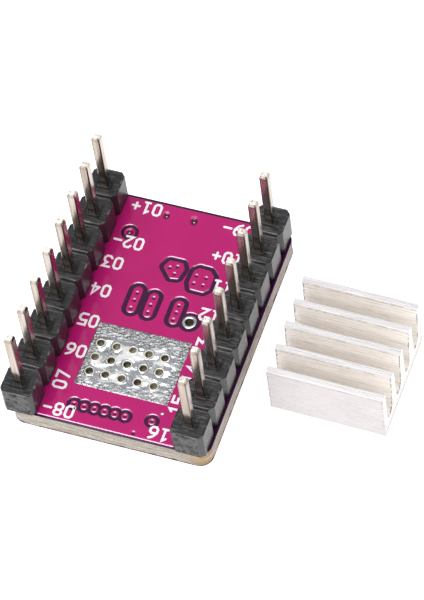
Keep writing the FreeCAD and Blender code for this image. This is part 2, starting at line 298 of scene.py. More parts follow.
def rounded_outline(low, high, radius, step):
    """Points round a rectangle with rounded corners, with their outward directions."""
    x0, y0, x1, y1 = low[0] + radius, low[1] + radius, high[0] - radius, high[1] - radius
    corners = np.array([(x1, y0), (x1, y1), (x0, y1), (x0, y0)])
    turns = max(3, int(radius * math.pi / 2 / step))
    points, outward = [], []
    for k, centre in enumerate(corners):
        quarter = np.radians(90 * (k - 1) + np.linspace(0, 90, turns + 1))
        arc = np.stack([np.cos(quarter), np.sin(quarter)], 1)
        run = corners[(k + 1) % 4] - centre
        count = max(1, int(np.hypot(*run) / step))
        start = centre + radius * arc[-1]
        points += list(centre + radius * arc) + [start + run * i / count for i in range(1, count)]
        outward += list(arc) + [arc[-1]] * (count - 1)
    return np.array(points), np.array(outward)


# ---- materials -------------------------------------------------------------------------------

class Paint:
    """A Principled material, with helpers for its node patterns in millimetres."""

    def __init__(self, name, colour, roughness=0.5, metallic=0.0):
        self.material = bpy.data.materials.new(name)
        self.material.use_nodes = True
        self.tree = self.material.node_tree
        self.shader = self.tree.nodes["Principled BSDF"]
        self.colour(colour)
        self.rough(roughness)
        self.metal(metallic)
        self.relief = None
        scale = self.node("ShaderNodeVectorMath", operation="SCALE")
        scale.inputs["Scale"].default_value = 1 / MM
        self.feed(scale.inputs[0], self.node("ShaderNodeTexCoord").outputs["Object"])
        self.place = scale.outputs[0]

    def node(self, kind, **settings):
        made = self.tree.nodes.new(kind)
        for key, value in settings.items():
            setattr(made, key, value)
        return made

    def feed(self, socket, value):
        """Links a socket to another node's output, or sets it to a number or colour."""
        if isinstance(value, bpy.types.NodeSocket):
            self.tree.links.new(value, socket)
        else:
            socket.default_value = (*value, 1) if isinstance(value, tuple) else value

    def colour(self, source):
        self.feed(self.shader.inputs["Base Color"], source)

    def rough(self, source):
        self.feed(self.shader.inputs["Roughness"], source)

    def metal(self, source):
        self.feed(self.shader.inputs["Metallic"], source)

    def noise(self, scale, detail=3.0, stretch=(1, 1, 1)):
        """Noise with the place multiplied along each axis, for streaks."""
        stretched = self.node("ShaderNodeVectorMath", operation="MULTIPLY")
        self.feed(stretched.inputs[0], self.place)
        stretched.inputs[1].default_value = stretch
        node = self.node("ShaderNodeTexNoise")
        node.inputs["Scale"].default_value = scale
        node.inputs["Detail"].default_value = detail
        self.feed(node.inputs["Vector"], stretched.outputs[0])
        return node.outputs["Fac"]

    def ramp(self, value, *stops):
        """Colour by value: stops are (position, colour)."""
        node = self.node("ShaderNodeValToRGB")
        elements = node.color_ramp.elements
        while len(elements) < len(stops):
            elements.new(0.5)
        for element, (position, colour) in zip(elements, stops):
            element.position = position
            element.color = (*colour, 1)
        self.feed(node.inputs["Fac"], value)
        return node.outputs["Color"]

    def span(self, value, low, high, to_low=0.0, to_high=1.0):
        """A smooth step from one value to another while the input goes from low to high."""
        node = self.node("ShaderNodeMapRange", interpolation_type="SMOOTHSTEP")
        for key, number in (("From Min", low), ("From Max", high),
                            ("To Min", to_low), ("To Max", to_high)):
            node.inputs[key].default_value = number
        self.feed(node.inputs["Value"], value)
        return node.outputs["Result"]

    def band(self, value, start, full, waning, end):
        """1 from full to waning, and 0 before start and after end."""
        return self.times(self.span(value, start, full), self.span(value, waning, end, 1, 0))

    def mix(self, factor, a, b, blend="MIX"):
        node = self.node("ShaderNodeMix", data_type="RGBA", blend_type=blend)
        self.feed(node.inputs["Factor"], factor)
        self.feed(node.inputs[6], a)
        self.feed(node.inputs[7], b)
        return node.outputs[2]

    def maths(self, operation, a, b):
        node = self.node("ShaderNodeMath", operation=operation)
        self.feed(node.inputs[0], a)
        self.feed(node.inputs[1], b)
        return node.outputs[0]

    def times(self, a, b):
        return self.maths("MULTIPLY", a, b)

    def larger(self, a, b):
        return self.maths("MAXIMUM", a, b)

    def attribute(self, name):
        node = self.node("ShaderNodeAttribute", attribute_type="GEOMETRY", attribute_name=name)
        return node.outputs["Fac"]

    def bump(self, height, depth):
        """Adds relief; depth is in millimetres."""
        node = self.node("ShaderNodeBump")
        node.inputs["Strength"].default_value = 1.0
        node.inputs["Distance"].default_value = depth * MM
        self.feed(node.inputs["Height"], height)
        if self.relief is not None:
            self.feed(node.inputs["Normal"], self.relief)
        self.relief = node.outputs["Normal"]
        self.feed(self.shader.inputs["Normal"], self.relief)


def solder_mask_paint():
    """Lacquer: magenta over copper and dark purple in the gaps.  The steps and pit rims that face
    -Y are painted pale pink and metallic as a painted highlight, and the rims of pits that face +Y
    are painted dark as painted shade."""
    paint = Paint("solder_mask_lacquer", (0.45, 0.01, 0.13), 0.16)
    grain = paint.noise(9.0, 2)
    over_copper = paint.ramp(paint.noise(0.35, 3), (0.3, (0.48, 0.006, 0.150)),
                             (0.7, (0.53, 0.010, 0.172)))
    over_copper = paint.mix(paint.span(grain, 0.35, 0.65, 0, 0.08), over_copper,
                            (0.60, 0.03, 0.21))
    over_bare = paint.ramp(grain, (0.35, (0.040, 0.002, 0.038)), (0.65, (0.056, 0.004, 0.052)))
    depth = paint.attribute("gap")
    hollow = paint.attribute("pit")
    facing = paint.attribute("facing")
    on_rim = paint.band(hollow, 0.12, 0.4, 0.6, 0.85)
    slope = paint.larger(paint.band(depth, -0.04, -0.015, 0.0, 0.025), on_rim)
    # Painted highlight: pale pink metal on the copper steps and pit rims that face -Y.
    painted_glint = paint.times(slope, paint.span(facing, 0.55, 0.9))
    shown = paint.mix(paint.span(depth, -0.012, 0.012), over_copper, over_bare)
    shown = paint.mix(paint.span(hollow, 0.45, 0.9), shown, (0.09, 0.004, 0.035))
    # Painted shade: the rims of pits that face +Y are darkened.
    shown = paint.mix(paint.times(on_rim, paint.span(facing, -0.2, -0.8)), shown,
                      (0.10, 0.002, 0.02))
    # The painted highlight goes over everything else.
    paint.colour(paint.mix(painted_glint, shown, (0.76, 0.36, 0.50)))
    paint.metal(paint.times(painted_glint, 0.8))
    paint.rough(paint.span(paint.noise(2.0, 4), 0.3, 0.7, 0.09, 0.15))
    paint.bump(paint.noise(2.2, 2), 0.006)
    paint.bump(paint.noise(14.0, 2), 0.0012)
    return paint.material


def fibreglass_paint():
    """Routed edge of the laminate: streaks along the layers, fine glass flecks."""
    paint = Paint("fibreglass_edge", (0.6, 0.5, 0.36), 0.62)
    layers = paint.noise(1.0, 5, (0.5, 0.5, 9.0))
    flecks = paint.noise(12.0, 2, (1, 1, 2.5))
    body = paint.ramp(layers, (0.32, (0.17, 0.14, 0.105)), (0.48, (0.32, 0.28, 0.23)),
                      (0.66, (0.50, 0.45, 0.39)))
    body = paint.mix(paint.span(flecks, 0.56, 0.72), body, (0.70, 0.67, 0.61))
    scorched = paint.mix(1.0, body, (0.95, 0.72, 0.40), "MULTIPLY")
    paint.colour(paint.mix(paint.attribute("scorched"), body, scorched))
    paint.bump(layers, 0.03)
    paint.bump(flecks, 0.015)
    return paint.material


def header_paint(name, scuffed, drag):
    """Satin black moulded plastic with fine drag marks and a little dust; paler along the lips and
    roof edges, partly wear and partly painted highlight.
    """
    paint = Paint(name, (0.016, 0.016, 0.018), 0.25)
    marks = paint.noise(1.0, 4, (1.2, 14.0, 3.0))
    mottle = paint.noise(3.0, 4)
    dust = paint.noise(16.0, 2)
    roof = paint.attribute("roof")
    body = paint.ramp(mottle, (0.3, (0.010, 0.010, 0.012)), (0.7, (0.022, 0.022, 0.025)))
    body = paint.mix(paint.span(dust, 0.62, 0.75, 0, 0.4), body, (0.20, 0.19, 0.19))
    scuffs = paint.times(paint.span(marks, 0.52, 0.70, 0, scuffed), roof)
    body = paint.mix(scuffs, body, (0.17, 0.165, 0.165))
    # Paler along the lips and the roof's edges: partly wear, partly painted highlight.
    paint.colour(paint.mix(paint.attribute("worn_and_glinting"), body, (0.50, 0.48, 0.47)))
    paint.rough(paint.span(marks, 0.3, 0.7, 0.27, 0.40))
    paint.bump(paint.times(marks, roof), drag)
    paint.bump(mottle, 0.012)
    paint.bump(dust, 0.003)
    return paint.material


def pin_paint():
    """Warm tin plating, drawn lengthwise: painted shade along the corners and shoulders, pale at
    the sheared tips.
    """
    paint = Paint("pin_plating", (0.40, 0.35, 0.31), 0.12, 1.0)
    drawn = paint.ramp(paint.noise(1.0, 2, (3.0, 3.0, 0.12)), (0.36, (0.33, 0.27, 0.225)),
                       (0.5, (0.41, 0.345, 0.295)), (0.62, (0.50, 0.44, 0.40)))
    # Painted shade: darker along the corners and round the shoulder below each tip.
    drawn = paint.mix(paint.attribute("edge"), drawn, (0.13, 0.10, 0.085))
    torn = paint.ramp(paint.noise(7.0, 3), (0.34, (0.50, 0.45, 0.40)), (0.46, (0.95, 0.92, 0.87)))
    tip = paint.attribute("tip")
    paint.colour(paint.mix(tip, drawn, torn))
    paint.metal(paint.span(tip, 0.2, 0.8, 1.0, 0.1))
    paint.rough(paint.span(tip, 0.1, 0.9, 0.18, 0.4))
    paint.bump(paint.noise(1.0, 2, (7.0, 7.0, 0.4)), 0.002)
    return paint.material


def solder_coat_paint():
    """Uneven hot-air-levelled solder: dull and grainy at the rims, bright where it pooled, with
    near-white patches of painted highlight there.
    """
    paint = Paint("solder_coat", (0.8, 0.8, 0.81), 0.35, 1.0)
    grain = paint.noise(9.0, 4, (1.0, 1.2, 1.0))
    pooled = paint.attribute("pooled")
    rim = paint.attribute("rim")
    dull = paint.ramp(grain, (0.36, (0.13, 0.135, 0.14)), (0.5, (0.40, 0.41, 0.42)),
                      (0.64, (0.72, 0.72, 0.73)))
    sheen = paint.ramp(grain, (0.38, (0.62, 0.65, 0.71)), (0.55, (0.84, 0.86, 0.90)))
    # Painted highlight: near-white, less metallic patches where the solder pooled.
    highlight_patches = paint.span(paint.noise(0.8, 5, (0.8, 1.3, 1.0)), 0.47, 0.62)
    painted_highlight = paint.times(highlight_patches, pooled)
    coat = paint.mix(painted_highlight, paint.mix(pooled, dull, sheen), (0.86, 0.86, 0.86))
    paint.colour(paint.mix(rim, coat, (0.93, 0.90, 0.83)))
    paint.metal(paint.span(paint.larger(rim, painted_highlight), 0.1, 0.9, 1.0, 0.12))
    paint.rough(paint.span(pooled, 0.1, 0.9, 0.40, 0.15))
    paint.bump(grain, 0.008)
    return paint.material


def cloudy_paint(name, scale, detail, dark, light, relief, shine=(), roughness=0.5,
                 metallic=0.0, spread=0.2):
    """Colour and relief that follow one noise, and roughness too where shine gives a range."""
    paint = Paint(name, light, roughness, metallic)
    cloud = paint.noise(scale, detail)
    paint.colour(paint.ramp(cloud, (0.5 - spread, dark), (0.5 + spread, light)))
    if shine:
        paint.rough(paint.span(cloud, 0.3, 0.7, *shine))
    paint.bump(cloud, relief)
    return paint.material


def solder_paint():
    """Smooth reflowed solder."""
    paint = Paint("solder", (0.78, 0.78, 0.79), 0.2, 1.0)
    cloud = paint.noise(2.4, 4)
    paint.colour(paint.ramp(cloud, (0.3, (0.62, 0.63, 0.64)), (0.7, (0.88, 0.88, 0.89))))
    paint.rough(paint.span(cloud, 0.3, 0.7, 0.12, 0.32))
    paint.bump(paint.noise(5.0, 3), 0.008)
    return paint.material


def barrel_paint():
    """Dull resin and oxide inside the plated holes, painted lighter in some holes than in others
    as painted light and shade; it also lines the test hole's bore as painted shade.
    """
    paint = Paint("hole_filling", (0.17, 0.14, 0.09), 0.4)
    cloud = paint.noise(6.0, 4)
    dark = paint.ramp(cloud, (0.3, (0.05, 0.038, 0.022)), (0.7, (0.16, 0.13, 0.08)))
    light = paint.ramp(cloud, (0.3, (0.20, 0.17, 0.11)), (0.7, (0.38, 0.33, 0.24)))
    # Painted light and shade: each hole's filling is lighter or darker by a random amount.
    paint.colour(paint.mix(paint.attribute("painted_hole_shade"), dark, light))
    paint.bump(cloud, 0.03)
    return paint.material


def chip_paint():
    """Fine matt moulding compound."""
    return cloudy_paint("moulding_compound", 18.0, 3, (0.017, 0.017, 0.019),
                        (0.034, 0.034, 0.037), 0.006, (0.45, 0.65), spread=0.15)


def ceramic_paint(name, dark, light, roughness):
    """Fired ceramic with a fine speckle."""
    paint = Paint(name, light, roughness)
    speck = paint.noise(10.0, 4)
    body = paint.ramp(paint.noise(1.5, 3), (0.3, dark), (0.7, light))
    paint.colour(paint.mix(paint.span(speck, 0.6, 0.75, 0, 0.3), body, dark))
    paint.bump(speck, 0.006)
    return paint.material


def rotor_paint():
    """Stamped plated metal with turning marks."""
    return cloudy_paint("rotor_metal", 5.0, 4, (0.66, 0.63, 0.56), (0.88, 0.86, 0.80),
                        0.006, (0.18, 0.36), metallic=1.0)


def legend_paint():
    """White printing ink."""
    return cloudy_paint("legend_ink", 6.0, 3, (0.95, 0.92, 0.96), (1.0, 0.98, 1.0), 0.004)


def aluminium_paint():
    """Satin extruded aluminium: duller outside; painted much lighter and warmer between the fins,
    as painted light where shade falls; a painted highlight on the fin crests, a painted shade line
    below them, and saw nicks at the ends.
    """
    paint = Paint("extruded_aluminium", (0.8, 0.78, 0.77), 0.34, 0.6)
    lines = paint.noise(1.0, 4, (0.35, 14.0, 14.0))
    outside = paint.ramp(paint.noise(0.7, 3), (0.3, (0.52, 0.485, 0.49)),
                         (0.7, (0.56, 0.525, 0.535)))
    speck = paint.span(paint.noise(9.0, 3), 0.58, 0.72, 0, 0.3)
    outside = paint.mix(speck, outside, (0.66, 0.64, 0.65))
    # Painted light: between the fins, where shade falls, the metal is painted far lighter and
    # warmer.
    inside = paint.ramp(lines, (0.34, (0.80, 0.71, 0.64)), (0.42, (1.0, 0.945, 0.895)),
                        (0.6, (1.0, 0.975, 0.945)))
    between = paint.attribute("between")
    # Saw nicks at the ends, and a painted shade line just below each crest.
    nicks_and_shade = paint.times(paint.attribute("cut"), paint.span(paint.noise(3.2, 5), 0.46, 0.56))
    body = paint.mix(nicks_and_shade, paint.mix(between, outside, inside), (0.34, 0.31, 0.32))
    # Painted highlight along the fin crests.
    paint.colour(paint.mix(paint.attribute("crest"), body, (0.90, 0.87, 0.88)))
    paint.metal(paint.span(between, 0.1, 0.9, 0.5, 0.15))
    paint.rough(paint.span(lines, 0.3, 0.7, 0.24, 0.42))
    paint.bump(lines, 0.014)
    return paint.material


def tape_paint():
    """Soft matt adhesive tape."""
    return cloudy_paint("adhesive_tape", 2.5, 4, (0.70, 0.73, 0.78), (0.84, 0.86, 0.90),
                        0.01, roughness=0.6)


# ---- circuit board ---------------------------------------------------------------------------

COPPER_STEP = 0.045                # height of the lacquer over copper above the gaps
PIT_DEPTH = 0.07                   # how far the lacquer sinks into a tented hole
RIM_DROP = 0.008                   # how far it thins at the board's outline
SHEET_BACK = 0.075                 # how far the sheet's flat side lies behind the lacquer's
CORE_INSET = 0.06                  # how far the core's faces lie inside the board's
TRAY = 0.5                         # depth of the hollow in the core's top, and its margin
CORE_HOLE_RADIUS = 0.4             # hole in the core round the test hole's barrel
GAP_HALF = 0.17                    # half width of the gap round a copper island
STEP_HALF = 0.035                  # half width of the slope at a copper edge
EDGE_PULLBACK = 0.20               # bare strip along the board's edges
WIDE_PULLBACK = 0.68               # the same along the control side
FINE_STEP = 0.05
FINE_HALF_WIDTH = 5.25             # the relief is fine between the headers

CONE_ISLAND = [(-0.38, 5.32), (0.85, 5.32), (1.2, 4.7), (0.98, 3.62), (0.15, 3.47),
               (-0.78, 4.5)]
EIGHT_SIDED_ISLAND = [(1.55, 4.85), (2.0, 5.24), (2.95, 5.2), (3.48, 4.68), (3.5, 3.45),
                      (3.02, 2.95), (1.78, 2.98), (1.48, 3.65)]
SLOT_RADIUS = 0.53
SLOTS = [((-1.65, 0.46), (-1.65, 2.02)), ((-0.34, 0.40), (-0.34, 1.80)),
         ((1.65, 0.34), (1.65, 1.66))]
ISLAND_PITS = [(-0.07, 4.52), (0.46, 4.74), (0.42, 4.08),
               (2.03, 4.36), (2.78, 4.34), (2.05, 3.68), (2.75, 3.68),
               (-1.64, 1.81), (-1.64, 1.17), (-1.66, 0.46),
               (-0.33, 1.72), (-0.36, 1.08), (-0.34, 0.43),
               (1.64, 1.56), (1.66, 0.95), (1.63, 0.32)]
VIA_RING = (0.28, 0.56)            # radius of the copper, radius of the gap
RINGED_VIAS = [(-2.85 + 0.77 * i, -8.25) for i in range(6)] + [(2.98, -8.12)]
THIN_RING = (0.42, 0.67)
THIN_RINGED_VIAS = [(-3.97, 6.7)]
PLAIN_VIAS = [(-1.81, 8.81, 0.24), (0.31, 8.86, 0.28)]
OPEN_VIA = (2.03, -9.40, 0.17)
PIT_RADIUS = 0.15
OPEN_PITS = [(x, y, PIT_RADIUS) for x, y in ISLAND_PITS + RINGED_VIAS] + [OPEN_VIA]
TENTED_PITS = [(x, y, 0.24) for x, y in THIN_RINGED_VIAS] + PLAIN_VIAS
TEST_GAP_RADIUS = 0.83
TEST_WINDOW_RADIUS = 0.45          # opening in the lacquer under the test hole's ring


def island_band(x, y, outline):
    """Gap along a rounded outline."""
    rounding = 0.34
    return GAP_HALF - np.abs(polygon_distance(x, y, inset(outline, rounding)) - rounding)


def edge_distance(x, y, low, high):
    """Distance inwards from the board's outline."""
    cx, cy = (low[0] + high[0]) / 2, (low[1] + high[1]) / 2
    qx = np.abs(x - cx) - (high[0] - low[0]) / 2 + BOARD_CORNER
    qy = np.abs(y - cy) - (high[1] - low[1]) / 2 + BOARD_CORNER
    outside = np.hypot(np.maximum(qx, 0), np.maximum(qy, 0))
    return BOARD_CORNER - outside - np.minimum(np.maximum(qx, qy), 0)


def ring_band(x, y, centre, radii):
    """Gap between two radii round a centre."""
    r = distance_to(x, y, centre)
    return np.minimum(r - radii[0], radii[1] - r)


def pin_side_fields(x, y):
    """Signed depth into the gaps between copper, and how far into a tented hole."""
    bands = [EDGE_PULLBACK - edge_distance(x, y, PIN_MASK_LOW, PIN_MASK_HIGH),
             x - (PIN_MASK_HIGH[0] - WIDE_PULLBACK),
             TEST_GAP_RADIUS - distance_to(x, y, TEST_HOLE),
             island_band(x, y, CONE_ISLAND), island_band(x, y, EIGHT_SIDED_ISLAND)]
    bands += [GAP_HALF - np.abs(segment_distance(x, y, a, b) - SLOT_RADIUS) for a, b in SLOTS]
    bands += [ring_band(x, y, via, VIA_RING) for via in RINGED_VIAS]
    bands += [ring_band(x, y, via, THIN_RING) for via in THIN_RINGED_VIAS]
    # A plain via has no ring, so its gap is a shallow dip.
    bands += [0.4 * (0.8 * radius - distance_to(x, y, via)) for *via, radius in PLAIN_VIAS]
    gap = np.minimum(np.max(bands, axis=0), nearest_distance(x, y, RINGED_VIAS) - VIA_RING[0])
    pit = np.zeros_like(x)
    for *centre, radius in OPEN_PITS:
        reach = distance_to(x, y, centre) / radius
        pit = np.maximum(pit, 1 - step_between(0.4, 1.35, reach))
    for *centre, radius in TENTED_PITS:
        reach = distance_to(x, y, centre) / radius
        pit = np.maximum(pit, 1 - step_between(0.4, 1.9, reach)) * step_between(0.1, 0.55, reach)
    return gap, pit


def sheet_points(low, high):
    """x and y of a grid that fills the board's rounded outline: fine between the headers,
    coarse beneath them."""
    inner = divisions(-FINE_HALF_WIDTH, FINE_HALF_WIDTH, FINE_STEP)
    left = np.linspace(0, 1, 7)[:-1]
    # Closer together near the right edge, where the wide bare strip begins.
    right = np.array([0.25, 0.5, 0.7, 0.85, 0.9, 0.94, 0.97, 1.0])
    near_ends = np.array([0.004, 0.015, 0.03])
    ys = np.sort(np.concatenate([divisions(low[1], high[1], FINE_STEP),
                                 low[1] + near_ends, high[1] - near_ends]))
    depth = np.clip(np.minimum(ys - low[1], high[1] - ys), 0, BOARD_CORNER)
    cut = BOARD_CORNER - np.sqrt(BOARD_CORNER ** 2 - (BOARD_CORNER - depth) ** 2)
    rows = []
    for c in cut:
        x0, x1 = low[0] + c, high[0] - c
        rows.append(np.concatenate([x0 + (-FINE_HALF_WIDTH - x0) * left, inner,
                                    FINE_HALF_WIDTH + (x1 - FINE_HALF_WIDTH) * right]))
    x = np.array(rows)
    return x, np.repeat(ys[:, None], x.shape[1], 1)


def make_lacquer(name, node, fields, side, paint, window=None):
    """A thin closed sheet with the relief of the copper under it, on the pin side (1) or the
    component side (-1), with a window for the node that lies in it."""
    low, high = node_box(node)
    x, y = sheet_points(low, high)
    gap, pit = fields(x, y)
    drop = COPPER_STEP * step_between(-STEP_HALF, STEP_HALF, gap) + PIT_DEPTH * pit
    drop += RIM_DROP * (1 - step_between(0, 0.05, edge_distance(x, y, low, high)))
    front, back = (high[2], low[2]) if side > 0 else (low[2], high[2])
    centre_x = (x[:-1, :-1] + x[1:, 1:]) / 2
    centre_y = (y[:-1, :-1] + y[1:, 1:]) / 2
    kept = distance_to(centre_x, centre_y, TEST_HOLE) > TEST_WINDOW_RADIUS
    if window:
        (x0, y0, _), (x1, y1, _) = node_box(window)
        kept &= ~((centre_x > x0) & (centre_x < x1) & (centre_y > y0) & (centre_y < y1))
    points = np.stack([x, y, front - side * drop], -1).reshape(-1, 3)
    # A step faces -Y where the gap, or the pit, grows shallower with y.
    probe = 0.01
    before, after = np.array(fields(x, y - probe)), np.array(fields(x, y + probe))
    gap_rise, pit_rise = (before - after) / (2 * probe)
    facing = np.where(pit > 0.02, 0.18 * pit_rise, gap_rise)
    mesh = sheet_mesh(name, points, quads_of(*x.shape)[kept.ravel()], back - side * SHEET_BACK,
                      {"gap": gap, "pit": pit, "facing": np.clip(facing, -1, 1)})
    add_piece(name, mesh, paint, [node])


def sheet_mesh(name, points, faces, back_z, values):
    """A relief made solid: walls from its borders to a flat face, with values at its points."""
    bm = bmesh.new()
    layers = [(bm.verts.layers.float.new(key), field.ravel()) for key, field in values.items()]
    made = {}
    for k in np.unique(faces):
        made[k] = bm.verts.new(points[k] * MM)
        for layer, numbers in layers:
            made[k][layer] = numbers[k]
    for face in faces:
        bm.faces.new([made[k] for k in face])
    border = [e for e in bm.edges if e.is_boundary]
    walls = bmesh.ops.extrude_edge_only(bm, edges=border)["geom"]
    lower = [v for v in walls if isinstance(v, bmesh.types.BMVert)]
    for vert in lower:
        vert.co.z = back_z * MM
    rims = [e for e in walls if isinstance(e, bmesh.types.BMEdge)
            and all(v.co.z == lower[0].co.z for v in e.verts)]
    bmesh.ops.triangle_fill(bm, edges=rims, use_beauty=False)
    return finish_mesh(bm, name)


def filled(bm, loops):
    """Flat faces between closed loops of vertices, the first one outermost."""
    edges = []
    for loop in loops:
        for a, b in zip(loop, loop[1:] + loop[:1]):
            edges.append(bm.edges.get((a, b)) or bm.edges.new((a, b)))
    bmesh.ops.triangle_fill(bm, edges=edges, use_beauty=True)


def make_board_core(paint):
    """Glass-fibre core: its routed edge shows between the two lacquer sheets."""
    outline, outward = rounded_outline(BOARD_LOW, BOARD_HIGH, BOARD_CORNER, 0.07)
    steps = np.diff(outline, axis=0)
    s = np.concatenate([[0], np.cumsum(np.hypot(steps[:, 0], steps[:, 1]))])
    at_seam = np.minimum(s, s[-1] - s) < 0.3
    along = np.ones_like(s)
    top, bottom = BOARD_HIGH[2] - CORE_INSET, BOARD_LOW[2] + CORE_INSET
    levels = (bottom, *np.linspace(bottom + CORE_INSET / 2, top - CORE_INSET / 2, 24), top)
    rows = []
    for z in levels:
        lowest = float(1 - step_between(0.0, 0.35, (z - bottom) / (top - bottom)))
        streak = fractal_noise(s * 1.3, along * z * 9, 11, 4)
        chatter = lattice_noise(s * 6.0, along * z * 1.5, 23)
        burr = np.maximum(fractal_noise(s * 2.1, along * z * 3.0, 31, 3), 0)
        offset = -0.02 + 0.016 * streak + 0.006 * chatter - 0.06 * lowest * burr
        offset = np.where(at_seam, -0.02, np.minimum(offset, -0.002))
        if z in (bottom, top):
            offset = offset - 0.015
        rows.append(np.column_stack([outline + outward * offset[:, None], along * z]))
    # The tray in the top leaves room for the fillings of the pad's holes.
    tray_z = top - TRAY
    rows += [np.column_stack([outline - outward * TRAY, along * z]) for z in (top, tray_z)]
    bm = bmesh.new()
    rings = [add_ring(bm, row) for row in rows]
    bridge(bm, rings)
    hole = [add_ring(bm, circle(TEST_HOLE, CORE_HOLE_RADIUS, z, 32)) for z in (bottom, tray_z)]
    bridge(bm, hole)
    filled(bm, [rings[0], hole[0]])
    filled(bm, [rings[-1], hole[1]])
    mesh = finish_mesh(bm, "board_core")
    away = distance_to(*plan_of(mesh), (BOARD_HIGH[0] - 0.5, BOARD_LOW[1] + 0.2))
    set_values(mesh, "scorched", np.exp(-(away / 0.9) ** 2))
    add_piece("board_core", mesh, paint, ["circuit_board"], sharp=50)


# ---- thermal pad -----------------------------------------------------------------------------

PAD_STEP = 0.035
PAD_HOLE_RADIUS = 0.265
PAD_RIM_RADIUS = 0.325             # crest of the raised rim round a hole
PAD_RIM_WIDTH = 0.05
PAD_HOLE_DEPTH = 0.42
PAD_HOLE_PITCH = 1.22
PAD_HOLES = [(-0.28 + i * PAD_HOLE_PITCH, -4.18 + j * PAD_HOLE_PITCH)
             for i in range(-2, 3) for j in range(-1, 2)]
TEST_BORE = 0.31


def pad_relief(x, y, high):
    """Height of the solder coat above the lacquer, where it pooled, and the holes' rims."""
    wander = 0.5 * fractal_noise(x * 0.9, y * 0.9, 91, 3)
    across = (y + 4.2 - 0.05 * x) / 1.95 + 0.6 * wander
    pooled = np.exp(-across ** 6) * (1 - step_between(2.7, 3.2, np.abs(x - 0.1) + wander))
    grain = fractal_noise(x * 5.0, y * 8.0, 41, 3)
    waves = fractal_noise(x * 0.7 + 0.5 * y, y * 1.5 - 0.4 * x, 57, 2)
    ripples = fractal_noise(x * 1.6 - y, y * 3.6 + 0.8 * x, 63, 2)
    z = high + 0.03 * grain * (1 - 0.85 * pooled) + (0.10 * waves + 0.02 * ripples) * pooled
    from_rim = (nearest_distance(x, y, PAD_HOLES) - PAD_RIM_RADIUS) / PAD_RIM_WIDTH
    rim = np.exp(-from_rim ** 2)
    z = z * (1 - rim) + (high + 0.06) * rim + 0.012 * np.exp(-(from_rim / 3.2) ** 2)
    return z, pooled, rim


def make_thermal_pad(coat):
    """The solder-coated pad as a relief with a ragged outline and round holes."""
    low, high = node_box("thermal_pad")
    y, x = np.meshgrid(divisions(low[1], high[1], PAD_STEP),
                       divisions(low[0], high[0], PAD_STEP), indexing="ij")
    z, pooled, rim = pad_relief(x, y, high[2])
    margin = np.minimum(np.minimum(x - low[0], high[0] - x), np.minimum(y - low[1], high[1] - y))
    z = z - 0.025 * (1 - step_between(0, 0.09, margin))
    ragged = 0.02 * fractal_noise(x * 2, y * 2, 71, 2) * (margin < 0.01)
    grid = np.stack([x + ragged, y + ragged, z], -1)
    # A corner near a hole's edge moves onto the edge, so that the holes are round.
    for centre in PAD_HOLES:
        r = distance_to(grid[..., 0], grid[..., 1], centre)
        near = np.abs(r - PAD_HOLE_RADIUS) < PAD_STEP * 0.55
        scale = PAD_HOLE_RADIUS / r[near]
        grid[near, :2] = centre + (grid[near, :2] - centre) * scale[:, None]
    middle = (grid[:-1, :-1] + grid[1:, 1:] + grid[:-1, 1:] + grid[1:, :-1]) / 4
    kept = nearest_distance(middle[..., 0], middle[..., 1], PAD_HOLES) > PAD_HOLE_RADIUS
    mesh = sheet_mesh("thermal_pad_coat", grid.reshape(-1, 3), quads_of(*x.shape)[kept.ravel()],
                      low[2], {"pooled": pooled, "rim": rim})
    add_piece("thermal_pad_coat", mesh, coat, ["thermal_pad"], sharp=70)


def make_hole_fillings(paint):
    """Resin that fills the pad's plated holes to different depths."""
    top = node_box("thermal_pad")[1][2]
    radius = PAD_HOLE_RADIUS
    bm = bmesh.new()
    for k, centre in enumerate(PAD_HOLES):
        bottom = top - PAD_HOLE_DEPTH + 0.06 * (k % 3)
        profile = [(radius + 0.03, top - 0.02), (radius + 0.002, top + 0.02),
                   (radius - 0.008, top - 0.02), (radius - 0.02, bottom + 0.06),
                   (radius - 0.08, bottom), (0.0, bottom + 0.02), (0.0, top - 0.5),
                   (radius + 0.03, top - 0.5)]
        add_turned(bm, centre, profile + profile[:1], 28)
    mesh = finish_mesh(bm, "thermal_hole_fillings")
    # How much painted light each hole's filling gets, at random; the rest is painted shade.
    painted_hole_shades = np.random.RandomState(12).uniform(0, 1, len(PAD_HOLES)) ** 1.5
    x, y = plan_of(mesh)
    nearest = np.argmin([distance_to(x, y, centre) for centre in PAD_HOLES], axis=0)
    set_values(mesh, "painted_hole_shade", painted_hole_shades[nearest])
    add_piece("thermal_hole_fillings", mesh, paint)


def make_test_hole(paint, bore_shade):
    """Solder-coated ring and barrel of the open hole, with a dark sleeve just inside the barrel as
    painted shade.
    """
    low, high = node_box("test_hole_barrel")
    outer = (high[0] - low[0]) / 2
    middle, half = (outer + TEST_BORE) / 2, (outer - TEST_BORE) / 2
    profile = []
    for level, way, last in ((high[2], 1, BOARD_HIGH[2] - 0.08),
                             (low[2], -1, BOARD_LOW[2] + 0.08)):
        arc = [(middle + half * math.cos(t), level - way * 0.055 * (1 - math.sin(t)))
               for t in np.linspace(0, math.pi, 13)]
        profile += ([(outer, last)] + arc + [(TEST_BORE, last)])[::way]
    # A dark sleeve just inside the bore: painted shade over the barrel's metal.
    bore_shade_profile = [(TEST_BORE + proud, z) for proud, z in (
        (0.02, high[2] - 0.10), (-0.004, high[2] - 0.06), (-0.012, high[2] - 0.14),
        (-0.012, low[2] + 0.14), (-0.004, low[2] + 0.06), (0.02, low[2] + 0.10))]
    for name, ring, material, replaced in (
            ("test_hole_ring", profile, paint, ["test_hole_barrel"]),
            ("test_hole_bore_shade", bore_shade_profile, bore_shade, [])):
        add_piece(name, turned(TEST_HOLE, ring + ring[:1], 48), material, replaced)


# ---- headers ---------------------------------------------------------------------------------

